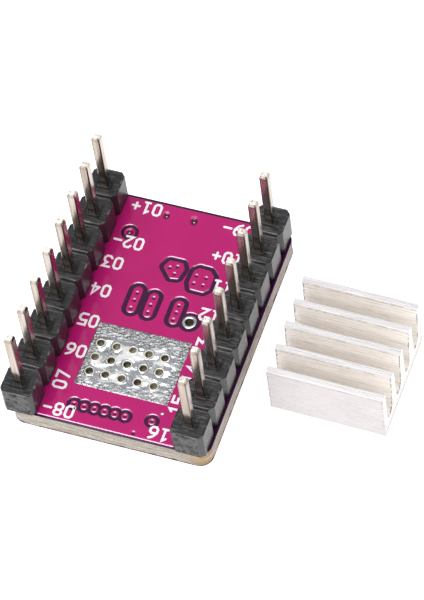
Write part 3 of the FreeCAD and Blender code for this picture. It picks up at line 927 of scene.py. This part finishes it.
HOUSING_CHAMFER = 0.42
HOUSING_BEVEL = 0.06               # along the edges of the roof
WALL_POINTS = 9                    # points up each side of the section
END_GRID = 40                      # points along each side of a torn end
ROW_START = -PITCH * PINS_PER_ROW / 2


def from_pin(y):
    """Distance along the row from the nearest pin."""
    return np.abs((y - ROW_START) % PITCH - PITCH / 2)


def housing_half_width(y, half):
    """Half width of the housing's plan at y, with a notch between segments."""
    return half - np.maximum(from_pin(y) - (PITCH / 2 - HOUSING_CHAMFER), 0)


def joint_offset(y):
    """Distance along the row from the nearest joint between two segments."""
    return (y - ROW_START + PITCH / 2) % PITCH - PITCH / 2


def housing_top(y):
    """Height of the top along the row: a groove between two lips at each joint."""
    offset = joint_offset(y)
    lips = np.exp(-((offset - 0.15) / 0.04) ** 2) + 0.7 * np.exp(-((offset + 0.17) / 0.035) ** 2)
    groove = step_between(0.105, 0.07, np.abs(offset))
    second = step_between(0.035, 0.01, np.abs(offset - 0.25))
    return -0.06 + 0.05 * lips - 0.16 * groove - 0.03 * second


def lip_wear_and_glint(y):
    """Paler plastic along the crests of the lips: partly wear, partly painted highlight."""
    offset = joint_offset(y)
    return np.exp(-((offset - 0.13) / 0.03) ** 2) + 0.45 * np.exp(-((offset + 0.17) / 0.03) ** 2)


def housing_section(y, low, high, seed):
    """The housing's outline across the row at y, from the left foot over the roof to the right
    foot, with how pale each point is painted (partly wear, partly painted highlight) and whether
    it lies on the roof."""
    half = housing_half_width(y, (high[0] - low[0]) / 2)
    top = high[2] + housing_top(y)
    across = np.linspace(-1, 1, 33) * (half - HOUSING_BEVEL)
    hollow = 0.08 * step_between(0.66, 0.44, np.maximum(np.abs(across), from_pin(y)))
    drag = 0.014 * lattice_noise(across * 1.1, np.full_like(across, y * 9.0), seed)
    roof = np.stack([across, top - hollow - 0.006 + np.minimum(drag, 0.006)], 1)
    roof[[0, -1], 1] = top - 0.02
    wall_z = low[2] + (top - HOUSING_BEVEL - low[2]) * np.linspace(0, 1, WALL_POINTS)
    wall = np.stack([np.full(WALL_POINTS, -half), wall_z], 1)
    loop = np.concatenate([wall, roof, wall[::-1] * (-1, 1)])
    section = np.stack([loop[:, 0] + (low[0] + high[0]) / 2, np.full(len(loop), y), loop[:, 1]], 1)
    first, last = WALL_POINTS, WALL_POINTS + len(roof) - 1
    wear_and_glint = np.zeros(len(loop))
    breaks = 0.6 + 0.4 * lattice_noise(across * 2.5, np.full_like(across, y * 1.3), seed + 5)
    wear_and_glint[first:last + 1] = lip_wear_and_glint(y) * breaks
    # Pale specks along the roof's edges: painted highlight, partly wear.
    rub_and_glint = 0.9 * lattice_noise(np.array([y * 3.5]), np.zeros(1), seed + 9)[0] - 0.35
    wear_and_glint[[first, last]] = np.maximum(wear_and_glint[[first, last]], rub_and_glint)
    on_roof = np.zeros(len(loop))
    on_roof[first + 1:last] = 1
    return section, np.clip(wear_and_glint, 0, 1), on_roof


def make_housing(name, node, paint, seed):
    """A strip of moulded segments, with a torn face at each end."""
    low, high = node_box(node)
    sections = [housing_section(y, low, high, seed) for y in divisions(low[1], high[1], 0.03)]
    grid, worn_and_glinting, roofs = (np.array(part) for part in zip(*sections))
    bm = bmesh.new()
    wear_and_glint_layer = bm.verts.layers.float.new("worn_and_glinting")
    roof_layer = bm.verts.layers.float.new("roof")
    verts = add_ring(bm, grid.reshape(-1, 3))
    for vert, wear_and_glint, on_roof in zip(verts, worn_and_glinting.ravel(), roofs.ravel()):
        vert[wear_and_glint_layer] = wear_and_glint
        vert[roof_layer] = on_roof
    for face in quads_of(*worn_and_glinting.shape, wrap_columns=True):
        bm.faces.new([verts[k] for k in face])
    add_broken_end(bm, grid[0], -1, seed)
    add_broken_end(bm, grid[-1], 1, seed + len(grid) - 1)
    add_piece(name, bm, paint, [node], sharp=28)


def add_broken_end(bm, section, outward, seed):
    """The rough face where the strip was snapped: pulled and torn plastic."""
    x0, x1 = section[:, 0].min(), section[:, 0].max()
    z0 = section[:, 2].min()
    roof = section[WALL_POINTS - 1:1 - WALL_POINTS]
    points = []
    for v in np.linspace(0, 1, END_GRID):
        for u in np.linspace(0, 1, END_GRID):
            x = x0 + (x1 - x0) * u
            z = z0 + (np.interp(x, roof[:, 0], roof[:, 2]) - z0) * v
            inwards = float(step_between(0, 0.07, min(u, 1 - u, v, 1 - v)))
            tear = 0.17 * fractal_noise(np.array([u * 6.0]), np.array([v * 7.0]), seed, 4)[0]
            lip = 0.05 * math.exp(-((v - 0.82) / 0.05) ** 2)
            push = min((tear - 0.03 + lip) * inwards, 0.0)
            points.append((x, section[0, 1] + outward * push, z))
    verts = add_ring(bm, points)
    for face in quads_of(END_GRID, END_GRID):
        bm.faces.new([verts[k] for k in face])


def pin_section(half, corner):
    """Points round a square pin with rounded corners, and how deep in a corner each lies."""
    points = []
    for start in np.radians([0, 90, 180, 270]):
        forward = np.array([math.cos(start), math.sin(start)])
        sideways = np.array([-forward[1], forward[0]])
        centre = (half - corner) * (forward + sideways)
        arc = [centre + corner * (math.cos(t) * forward + math.sin(t) * sideways)
               for t in np.radians([0, 22.5, 45, 67.5, 90])]
        flat = 0.12 * half
        points += [arc[0] - flat * sideways] + arc + [arc[-1] - flat * forward]
    return np.array(points), np.tile([0, 0.6, 1, 1, 1, 0.6, 0], 4)


def make_pin(number, paint):
    """A square wire with sheared, rounded ends; each tip is cut a little differently."""
    node = "header_pin_%02d" % number
    low, high = node_box(node)
    cx, cy = centre_of(node)
    half = (high[0] - low[0]) / 2
    slant = np.random.RandomState(number).uniform(-0.08, 0.08, 2)
    # Distance from the end, half width and corner radius of each ring of the tip.
    end = [(0.0, 0.12, 0.07), (0.004, 0.165, 0.08), (0.018, 0.20, 0.09), (0.045, 0.222, 0.09),
           (0.09, 0.235, 0.09), (0.25, half - 0.015, 0.08), (0.29, half - 0.004, 0.07),
           (0.33, half, 0.07), (0.42, half, 0.07)]
    levels = [(low[2] + d, d, -1, w, r) for d, w, r in end]
    levels += [(high[2] - d, d, 1, w, r) for d, w, r in end[::-1]]
    rows, edges, tips = [], [], []
    for z, from_end, way, width, radius in levels:
        section, cornered = pin_section(width, radius)
        cut = np.minimum(section @ slant - 0.01, 0) * step_between(0.3, 0.0, from_end) * way
        rows.append(np.column_stack([section + (cx, cy), z + cut]))
        tips.append(np.full(len(section), step_between(0.09, 0.03, from_end)))
        # How much painted shade darkens each point: along the corners, and round the shoulder
        # below the tip.
        ridge = math.exp(-((from_end - 0.3) / 0.035) ** 2)
        edges.append(np.maximum(cornered * step_between(0.05, 0.3, from_end), 0.6 * ridge))
    mesh = mesh_of(node + "_mesh", rows, tube_faces(len(rows), len(rows[0])))
    set_values(mesh, "tip", tips)
    set_values(mesh, "edge", edges)
    add_piece("pin_%02d" % number, mesh, paint, [node])


def pin_places():
    return [(number, *centre_of("header_pin_%02d" % number))
            for number in range(1, 2 * PINS_PER_ROW + 1)]


def make_solder_joints(side, paint):
    """Concave fillets round the pin tails of the left (-1) or right (1) row."""
    name = "solder_joints_left" if side < 0 else "solder_joints_right"
    base = PART_SIDE_Z + 0.01
    height = 0.72
    profile = [(0.40 + 0.42 * (1 - t) ** 2.1, base - height * t ** 0.9)
               for t in np.linspace(0, 1, 12)]
    profile = [(0.0, base + 0.02), (0.84, base + 0.02)] + profile + [(0.0, base - height - 0.02)]
    bm = bmesh.new()
    for number, x, y in pin_places():
        if x * side < 0:
            continue
        first = len(bm.verts)
        add_turned(bm, (x, y), profile, 28)
        bm.verts.ensure_lookup_table()
        for vert in bm.verts[first:]:
            if vert.co.z < (base - 0.05) * MM:
                turn = math.atan2(vert.co.y / MM - y, vert.co.x / MM - x)
                vert.co.z += 0.02 * math.sin(3 * turn + number) * MM
    add_piece(name + "_fillets", bm, paint, [name])


# ---- printed legend --------------------------------------------------------------------------

INK_HEIGHT = 0.014
INK_WIDTH = 0.18
DIGIT_HEIGHT = 0.92
DIGIT_WIDTH = 0.52
DIGIT_SPACING = 0.82

# Strokes of each digit on a grid one wide and two high.
DIGITS = {
    "0": [[(0.25, 0), (0.75, 0), (1, 0.35), (1, 1.65), (0.75, 2), (0.25, 2), (0, 1.65),
           (0, 0.35), (0.25, 0)]],
    "1": [[(0.15, 1.6), (0.55, 2), (0.55, 0)], [(0.2, 0), (0.9, 0)]],
    "2": [[(0, 1.65), (0.25, 2), (0.75, 2), (1, 1.65), (1, 1.3), (0, 0), (1, 0)]],
    "3": [[(0, 2), (1, 2), (0.5, 1.2), (0.8, 1.1), (1, 0.75), (1, 0.35), (0.75, 0), (0.25, 0),
           (0, 0.3)]],
    "4": [[(0.75, 0), (0.75, 2), (0, 0.6)], [(0, 0.6), (1, 0.6)]],
    "5": [[(1, 2), (0, 2), (0, 1.15), (0.7, 1.2), (1, 0.9), (1, 0.35), (0.75, 0), (0, 0)]],
    "6": [[(0.9, 2), (0.4, 1.7), (0, 1), (0, 0.35), (0.25, 0), (0.75, 0), (1, 0.35), (1, 0.8),
           (0.75, 1.1)], [(0.75, 1.1), (0.1, 1.05)]],
    "7": [[(0, 2), (1, 2), (0.4, 0)]],
    "8": [[(0.25, 1.1), (0, 1.4), (0, 1.7), (0.25, 2), (0.75, 2), (1, 1.7), (1, 1.4),
           (0.75, 1.1)],
          [(0.75, 1.1), (0.25, 1.1), (0, 0.75), (0, 0.3), (0.25, 0), (0.75, 0), (1, 0.3),
           (1, 0.75), (0.75, 1.1)]],
    "9": [[(0.1, 0), (0.6, 0.3), (1, 1), (1, 1.65), (0.75, 2), (0.25, 2), (0, 1.65), (0, 1.2),
           (0.25, 0.9)], [(0.25, 0.9), (0.95, 1)]],
    "+": [[(0.5, 0.4), (0.5, 1.6)], [(0, 1), (1, 1)]],
    "-": [[(0, 1), (1, 1)]],
}

# Pin number with the polarity of a supply pin, the label's centre, and its turn in degrees.
LABELS = [("01+", -3.45, 9.05, 180), ("02-", -3.75, 5.85, 180), ("03", -4.25, 3.85, 180),
          ("04", -4.3, 1.35, 180), ("05", -4.25, -1.35, 180), ("06", -4.25, -4.0, 180),
          ("07", -4.4, -6.6, 90), ("08-", -3.75, -9.0, 180),
          ("09-", 3.7, 8.95, 180), ("10+", 3.7, 6.4, 180), ("11", 4.15, 3.9, 180),
          ("12", 4.05, 1.35, 180), ("13", 4.4, -1.4, 90), ("14", 4.4, -3.7, 90),
          ("15", 4.3, -6.4, 90), ("16", 3.8, -9.0, 180)]
INK_DOTS = [(3.48, -7.38), (-2.67, -8.62)]


def add_stroke(bm, points, z):
    """A ribbon along a path, standing a little above the lacquer: closed, or with round ends."""
    half = INK_WIDTH / 2
    path = [np.array(p, float) for p in points]
    closed = len(path) > 2 and np.allclose(path[0], path[-1])
    if closed:
        path = path[:-1]
    count = len(path)
    left, right = [], []
    for i, p in enumerate(path):
        before = p - path[i - 1] if (i or closed) else path[1] - p
        after = path[(i + 1) % count] - p if (i < count - 1 or closed) else before
        a, b = before / np.linalg.norm(before), after / np.linalg.norm(after)
        normal = np.array([-(a + b)[1], (a + b)[0]])
        normal /= np.linalg.norm(normal)
        reach = half / max(0.45, float(normal @ np.array([-a[1], a[0]])))
        left.append(p + normal * reach)
        right.append(p - normal * reach)
    outlines = [[left[i], left[(i + 1) % count], right[(i + 1) % count], right[i]]
                for i in range(count if closed else count - 1)]
    if not closed:
        for end, inward in ((path[0], path[1]), (path[-1], path[-2])):
            away = math.atan2(*(end - inward)[::-1])
            outlines.append([end + half * np.array([math.cos(t), math.sin(t)])
                             for t in np.linspace(away - math.pi / 2, away + math.pi / 2, 9)])
    for outline in outlines:
        add_solid(bm, [[(*p, level) for p in outline] for level in (z - 0.02, z + INK_HEIGHT)])


def text_strokes(text, x, y, turn):
    """Strokes of a number, centred on x and y."""
    c, s = math.cos(math.radians(turn)), math.sin(math.radians(turn))
    strokes = []
    width = DIGIT_SPACING * (len(text) - 1) + DIGIT_WIDTH
    for i, letter in enumerate(text):
        for path in DIGITS[letter]:
            across = [i * DIGIT_SPACING + px * DIGIT_WIDTH - width / 2 for px, py in path]
            upwards = [(py / 2 - 0.5) * DIGIT_HEIGHT for px, py in path]
            strokes.append([(x + u * c - v * s, y + u * s + v * c)
                            for u, v in zip(across, upwards)])
    return strokes


def make_legend(paint):
    bm = bmesh.new()
    for text, x, y, turn in LABELS:
        for k, stroke in enumerate(text_strokes(text, x, y, turn)):
            add_stroke(bm, stroke, PIN_SIDE_Z + 0.002 * (k % 5))
    for x, y in INK_DOTS:
        add_stroke(bm, [(x, y), (x + 0.03, y)], PIN_SIDE_Z)
    add_piece("pin_legend", bm, paint, sharp=40)


# ---- component side --------------------------------------------------------------------------

TRACK_VIAS = [(-1.6, -8.2), (-0.3, -8.2), (1.0, -8.2), (-2.4, 4.6), (0.2, 5.0), (2.0, -0.1)]


def part_side_fields(x, y):
    """Gaps between the copper areas and tracks of the component side."""
    gap = EDGE_PULLBACK - edge_distance(x, y, PART_MASK_LOW, PART_MASK_HIGH)
    for _, *pin in pin_places():
        gap = np.maximum(gap, ring_band(x, y, pin, (0.0, 1.05)))
    for points in part_tracks():
        distance = path_distance(x, y, points)
        gap = np.maximum(gap, 0.2 - np.abs(distance - 0.32))
        gap = np.minimum(gap, distance - 0.12)
    pit = 1 - step_between(0.4, 1.3, nearest_distance(x, y, TRACK_VIAS) / PIT_RADIUS)
    return gap, pit


def part_tracks():
    """Tracks from the chip's leads out to the header pins."""
    tracks = []
    for i, lead in enumerate((4.2, 3.55, 2.9)):
        for side in (-1, 1):
            tracks.append([(side * lead, -0.9), (side * lead, -0.2 + 0.5 * i),
                           (side * 4.9, 0.6 + 0.9 * i), (side * 5.4, 1.27 + PITCH * i)])
        tracks.append([(lead, -7.1), (lead, -7.5 - 0.35 * i), (4.9, -8.0 - 0.4 * i), (5.4, -8.6)])
    tracks += [[(lead, -7.1), (lead, -8.2)] for lead in (-1.6, -0.3, 1.0)]
    return tracks


def make_block_part(name, body_paint, metal):
    """A ceramic block with wrapped end terminals and solder fillets."""
    low, high = node_box(name)
    end_low, end_high = node_box(name + "_terminals")
    along = 0 if end_high[0] - end_low[0] > end_high[1] - end_low[1] else 1
    block = bevelled_boxes([(end_low + 0.02, end_high - 0.02)], 0.05, 3)
    add_piece(name + "_block", block, body_paint, [name], sharp=50)
    first_high, second_low = end_high.copy(), end_low.copy()
    first_high[along], second_low[along] = low[along], high[along]
    ends = bevelled_boxes([(end_low, first_high), (second_low, end_high)], 0.07, 3)
    add_fillet(ends, end_low, first_high, along, -1)
    add_fillet(ends, second_low, end_high, along, 1)
    add_piece(name + "_ends", ends, metal, [name + "_terminals"], sharp=50)


def add_fillet(bm, low, high, along, outward):
    """Concave solder wedge at the outer face of a terminal."""
    reach, climb, overlap = 0.13, 0.5 * (high[2] - low[2]), 0.02
    face = high[along] if outward > 0 else low[along]
    seat = high[2]
    profile = [(face - outward * overlap, seat)]
    profile += [(face + outward * reach * (1 - t) ** 2, seat - climb * t ** 2)
                for t in np.linspace(0, 1, 7)]
    profile += [(face - outward * overlap, seat - climb)]
    ends = (low[1 - along] + 0.03, high[1 - along] - 0.03)
    add_solid(bm, [[(a, u, z) if along == 0 else (u, a, z) for a, z in profile] for u in ends])


def cut_away(obj, bm):
    """Cuts a closed shape out of a piece."""
    cutter = bpy.data.objects.new("cutter", finish_mesh(bm, "cutter"))
    bpy.context.scene.collection.objects.link(cutter)
    cut = obj.modifiers.new("cut", "BOOLEAN")
    cut.object = cutter
    cut.solver = "EXACT"
    cut.use_self = True
    bpy.context.view_layer.update()
    graph = bpy.context.evaluated_depsgraph_get()
    solid = bpy.data.meshes.new_from_object(obj.evaluated_get(graph))
    obj.modifiers.clear()
    obj.data = solid
    bpy.data.objects.remove(cutter)


def make_chip(body_paint, metal):
    """Moulded body whose sides lean in from its middle, with a dimple at pin one."""
    low, high = node_box("driver_chip_body")
    cx, cy = centre_of("driver_chip_body")
    half_x, half_y = (high[0] - low[0]) / 2, (high[1] - low[1]) / 2
    lean = 0.12
    middle = (low[2] + high[2]) / 2
    bm = bmesh.new()
    add_solid(bm, [[(cx + sx * (half_x - shrink), cy + sy * (half_y - shrink), z)
                    for sx, sy in ((-1, -1), (1, -1), (1, 1), (-1, 1))]
                   for shrink, z in ((lean, low[2]), (0, middle - 0.02), (0, middle + 0.02),
                                     (lean, high[2]))])
    bevelled(bm, 0.05, 2, 20)
    chip = add_piece("chip_body", bm, body_paint, ["driver_chip_body"], sharp=40)
    z = low[2]
    dimple = [(0.0, z - 0.2), (0.37, z - 0.2), (0.37, z - 0.01), (0.33, z + 0.05), (0.0, z + 0.06)]
    cut_away(chip, turned((cx - half_x + 0.85, cy + half_y - 0.75), dimple, 40))
    make_chip_leads(cx, cy, half_y, middle, metal)


def make_chip_leads(cx, cy, half_y, shoulder, metal):
    """Gull-wing leads with rounded bends, 14 a side."""
    low, high = node_box("driver_chip_leads")
    toe = (high[1] - low[1]) / 2
    heel = toe - 0.62
    count, pitch = 14, 0.65
    thickness, half_width, bend = 0.15, 0.12, 0.16
    foot_z = high[2] - thickness / 2
    path = [(half_y - 0.05, shoulder), (half_y + 0.14, shoulder)]
    path += [(half_y + 0.14 + bend * math.sin(a), shoulder + bend * (1 - math.cos(a)))
             for a in np.linspace(0.2, 1.25, 5)]
    path += [(heel + bend * (1 - math.cos(a)) + 0.02, foot_z - bend * (1 - math.sin(a)))
             for a in np.linspace(0.35, math.pi / 2, 5)]
    path = np.array(path + [(toe - 0.02, foot_z)])
    direction = np.gradient(path, axis=0)
    direction /= np.linalg.norm(direction, axis=1)[:, None]
    normal = np.stack([-direction[:, 1], direction[:, 0]], 1) * thickness / 2
    outline = np.concatenate([path + normal, (path - normal)[::-1]])
    bm = bmesh.new()
    for side in (-1, 1):
        for x in cx + (np.arange(count) - (count - 1) / 2) * pitch:
            add_solid(bm, [[(edge, cy + side * py, pz) for py, pz in outline]
                           for edge in (x - half_width, x + half_width)])
    bevelled(bm, 0.02, 1, 60)
    add_piece("chip_leads", bm, metal, ["driver_chip_leads"], sharp=40)


def make_trimmer(base_paint, dial_paint, metal):
    """A block with a turned dial that has a cross cut in it, and three terminals."""
    low, high = node_box("trimmer_base")
    cx, cy = centre_of("trimmer_base")
    add_piece("trimmer_body", bevelled_boxes([(low, high)], 0.09, 3), base_paint,
              ["trimmer_base"], sharp=40)

    r_low, r_high = node_box("trimmer_rotor")
    radius = (r_high[0] - r_low[0]) / 2
    far, near = r_low[2], low[2] - 0.06
    profile = [(0.0, far + 0.16), (0.30, far + 0.16), (0.42, far + 0.05), (0.75, far),
               (radius - 0.12, far), (radius - 0.03, far + 0.03), (radius, far + 0.1),
               (radius, near - 0.06), (radius - 0.04, near), (0.0, near)]
    dial = add_piece("trimmer_dial", turned((cx, cy), profile, 64), dial_paint,
                     ["trimmer_rotor"], "trimmer_rotor", sharp=40)
    cross = bmesh.new()
    for a, b in ((0.78, 0.17), (0.17, 0.78)):
        add_box(cross, (cx - a, cy - b, far - 0.3), (cx + a, cy + b, far + 0.24))
    cut_away(dial, cross)

    t_low, t_high = node_box("trimmer_terminals")
    tabs = [((x - 0.4, y0, t_low[2]), (x + 0.4, y1, t_high[2]))
            for x, y0, y1 in ((cx, high[1], t_high[1]), (cx - 1.1, t_low[1], low[1]),
                              (cx + 1.1, t_low[1], low[1]))]
    add_piece("trimmer_tabs", bevelled_boxes(tabs, 0.05, 2), metal,
              ["trimmer_terminals"], sharp=40)


# ---- heat sink -------------------------------------------------------------------------------

SINK_TURN = math.radians(-0.93)
SINK_CORNER = (9.95, -3.13)
SINK_LENGTH, SINK_DEPTH, SINK_HEIGHT = 8.6, 8.4, 4.8
SINK_BASE = 1.0                    # thickness under the rounded valleys
SINK_FINS = 5
FIN_TOP, FIN_ROOT = 0.5, 0.78      # thickness of a fin at its top and at its root


def fin_side(y0, z0, y1, z1, facing):
    """A fin's side from one point to another, with fine extruded ridges."""
    ridges, depth = 9, 0.03
    points = []
    for t in np.linspace(0, 1, 4 * ridges + 1):
        wave = max(0.0, math.sin(2 * math.pi * ridges * t)) if 0.04 < t < 0.96 else 0.0
        points.append((y0 + (y1 - y0) * t - facing * depth * wave, z0 + (z1 - z0) * t))
    return points


def sink_profile():
    """Section across the fins, anticlockwise from the near bottom corner."""
    pitch = (SINK_DEPTH - FIN_TOP) / (SINK_FINS - 1)
    valley_half = (pitch - FIN_ROOT) / 2
    round_z = SINK_BASE + valley_half
    top = SINK_HEIGHT
    points = [(0.0, 0.03), (0.0, top - 0.28), (0.03, top - 0.25), (0.03, top - 0.1), (0.1, top)]
    for i in range(SINK_FINS - 1):
        fin, following = i * pitch + FIN_TOP, (i + 1) * pitch
        middle = (fin + following) / 2
        points += [(fin - 0.07, top), (fin, top - 0.08)]
        points += fin_side(fin, top - 0.12, middle - valley_half, round_z, 1)
        points += [(middle - valley_half * math.cos(a), round_z - valley_half * math.sin(a))
                   for a in np.linspace(0.15, math.pi - 0.15, 11)]
        points += fin_side(middle + valley_half, round_z, following, top - 0.12, -1)
        points += [(following, top - 0.08), (following + 0.07, top)]
    points += [(SINK_DEPTH - 0.08, top), (SINK_DEPTH, top - 0.08), (SINK_DEPTH, 0.03),
               (SINK_DEPTH - 0.03, 0.0), (0.03, 0.0)]
    return np.array(points)


def lay_beside_board(points, lift):
    """From the heat sink's own corner to its place beside the board."""
    c, s = math.cos(SINK_TURN), math.sin(SINK_TURN)
    p = np.asarray(points, float)
    return np.stack([SINK_CORNER[0] + c * p[..., 0] - s * p[..., 1],
                     SINK_CORNER[1] + s * p[..., 0] + c * p[..., 1],
                     SURFACE_Z + lift + p[..., 2]], -1)


def make_heatsink(paint, tape):
    profile = sink_profile()[::-1]
    across, height = profile.T
    tape_low, tape_high = node_box("heatsink_tape")
    lift = tape_high[2] - tape_low[2]
    along = np.roll(profile, -1, 0) - np.roll(profile, 1, 0)
    inwards = np.stack([along[:, 1], -along[:, 0]], 1)
    inwards /= np.linalg.norm(inwards, axis=1)[:, None]
    # Distance from the end, how far the section shrinks there, how much the saw marked it.
    end = [(0.0, 0.045, 0.0), (0.012, 0.015, 0.3), (0.045, 0.0, 1.0), (0.09, 0.0, 0.9),
           (0.13, 0.0, 0.0)]
    stations = end + [(u, 0.0, 0.0) for u in np.linspace(0.5, SINK_LENGTH - 0.5, 9)]
    stations += [(SINK_LENGTH - u, shrink, mark) for u, shrink, mark in end[::-1]]
    rows = [np.column_stack([np.full(len(profile), u), profile + shrink * inwards])
            for u, shrink, mark in stations]
    mesh = mesh_of("finned_heatsink", lay_beside_board(rows, lift),
                   tube_faces(len(rows), len(profile)))
    # Between the fins, where the paint is made lighter as painted light.
    inner = (across > 0.3) & (across < SINK_DEPTH - 0.3) & (height < SINK_HEIGHT - 0.05)
    set_values(mesh, "between", np.tile(inner & (height > 0.2), len(rows)))
    # A painted shade line just below each crest, and saw marks at the ends.
    below_crest = np.exp(-((height - SINK_HEIGHT + 0.17) / 0.05) ** 2)
    set_values(mesh, "cut", np.maximum([[mark] for *_, mark in stations], 0.8 * below_crest))
    # The crests carry a painted highlight.
    set_values(mesh, "crest", np.tile(height > SINK_HEIGHT - 0.11, len(rows)))
    add_piece("finned_heatsink", mesh, paint, ["heatsink"],
              "loose_heatsink", sharp=25)

    bm = bmesh.new()
    margin = 0.2
    far = (SINK_LENGTH - margin, SINK_DEPTH - margin, lift)
    for vert in add_box(bm, (margin, margin, 0), far):
        vert.co = Vector(lay_beside_board(np.array(vert.co) / MM, 0) * MM)
    bevelled(bm, 0.03, 2)
    add_piece("adhesive_tape", bm, tape, ["heatsink_tape"], "loose_heatsink",
              sharp=40)


# ---- floor, light and camera -----------------------------------------------------------------

def make_floor():
    """Plain white floor, lit from itself so that it stays pale, a hair below the object."""
    half = 1.5
    z = cad_low.z - 0.00001
    corners = [(-half, -half, z), (half, -half, z), (half, half, z), (-half, half, z)]
    mesh = bpy.data.meshes.new("floor")
    mesh.from_pydata(corners, [], [(0, 1, 2, 3)])
    floor = bpy.data.objects.new("floor", mesh)
    bpy.context.scene.collection.objects.link(floor)
    paint = Paint("floor_white", (0.92, 0.92, 0.92), 0.6)
    cloud = paint.noise(0.02, 2)
    paint.colour(paint.ramp(cloud, (0.3, (0.89, 0.89, 0.89)), (0.7, (0.91, 0.91, 0.91))))
    paint.shader.inputs["Emission Color"].default_value = (1, 1, 1, 1)
    paint.shader.inputs["Emission Strength"].default_value = 0.75
    mesh.materials.append(paint.material)


def add_area(name, place, aim, size, power):
    light = bpy.data.lights.new(name, "AREA")
    light.shape = "RECTANGLE"
    light.size, light.size_y = size
    light.energy = power
    lamp = bpy.data.objects.new(name, light)
    lamp.location = place
    lamp.rotation_mode = "QUATERNION"
    lamp.rotation_quaternion = (Vector(aim) - Vector(place)).to_track_quat("-Z", "Y")
    bpy.context.scene.collection.objects.link(lamp)


def make_light():
    """An even white studio with a large key, a top light and a long strip near the camera."""
    world = bpy.data.worlds.new("studio")
    bpy.context.scene.world = world
    world.use_nodes = True
    background = world.node_tree.nodes["Background"]
    background.inputs["Color"].default_value = (1.0, 1.0, 1.0, 1)
    background.inputs["Strength"].default_value = 0.45
    add_area("key", (-0.09, -0.24, 0.42), (0.004, 0, 0), (0.46, 0.36), 0.9)
    add_area("top", (-0.02, 0.0, 0.46), (0.0, 0, 0), (0.36, 0.28), 0.7)
    add_area("strip", (-0.10, -0.30, 0.27), (0.004, 0, 0), (0.34, 0.05), 0.32)
    bpy.context.scene.view_settings.view_transform = "Standard"


# Where the camera looks and from how far, its angles in degrees, and its lens on a 36 mm sensor.
CAMERA_AIM = (3.79, 2.67, -2.54)
CAMERA_DISTANCE = 242.7
CAMERA_AZIMUTH, CAMERA_ELEVATION, CAMERA_ROLL = 26.45, 56.19, -5.10
CAMERA_LENS = 202.6


def make_camera():
    azimuth, elevation = math.radians(CAMERA_AZIMUTH), math.radians(CAMERA_ELEVATION)
    back = Vector((math.sin(azimuth) * math.cos(elevation),
                   -math.cos(azimuth) * math.cos(elevation), math.sin(elevation)))
    data = bpy.data.cameras.new("camera")
    data.sensor_width = 36.0
    data.lens = CAMERA_LENS
    data.clip_start, data.clip_end = 0.01, 10.0
    camera = bpy.data.objects.new("camera", data)
    bpy.context.scene.collection.objects.link(camera)
    level = (-back).to_track_quat("-Z", "Y").to_matrix().to_4x4()
    roll = math.asin(math.sin(math.radians(CAMERA_ROLL)) / math.cos(elevation))
    place = (Vector(CAMERA_AIM) + back * CAMERA_DISTANCE) * MM
    camera.matrix_world = Matrix.Translation(place) @ level @ Matrix.Rotation(roll, 4, "Z")
    bpy.context.scene.camera = camera


# ---- build -----------------------------------------------------------------------------------

def main():
    mask = solder_mask_paint()
    solder = solder_paint()
    plating = pin_paint()
    filling = barrel_paint()
    make_board_core(fibreglass_paint())
    make_lacquer("lacquer_pin_side", "solder_mask_pin_side", pin_side_fields, 1, mask,
                 window="thermal_pad")
    make_lacquer("lacquer_component_side", "solder_mask_component_side", part_side_fields, -1,
                 mask)
    make_thermal_pad(solder_coat_paint())
    make_hole_fillings(filling)
    make_test_hole(solder, filling)
    make_housing("left_header", "header_housing_left", header_paint("left_plastic", 0.2, 0.007),
                 101)
    make_housing("right_header", "header_housing_right", header_paint("right_plastic", 0.8, 0.03),
                 211)
    for number in range(1, 2 * PINS_PER_ROW + 1):
        make_pin(number, plating)
    make_solder_joints(-1, solder)
    make_solder_joints(1, solder)
    make_legend(legend_paint())

    repaint("component_pads", solder)
    repaint("driver_chip_slug", solder)
    capacitor = ceramic_paint("capacitor_ceramic", (0.20, 0.13, 0.08), (0.34, 0.24, 0.15), 0.45)
    resistor = ceramic_paint("resistor_glaze", (0.012, 0.012, 0.013), (0.03, 0.03, 0.032), 0.3)
    trimmer = ceramic_paint("trimmer_ceramic", (0.66, 0.64, 0.60), (0.82, 0.80, 0.76), 0.5)
    for name in sorted(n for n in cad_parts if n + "_terminals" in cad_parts):
        make_block_part(name, capacitor if "capacitor" in name else resistor, solder)
    make_chip(chip_paint(), solder)
    make_trimmer(trimmer, rotor_paint(), solder)
    make_heatsink(aluminium_paint(), tape_paint())
    make_floor()
    make_light()
    make_camera()


main()
bpy.context.view_layer.update()
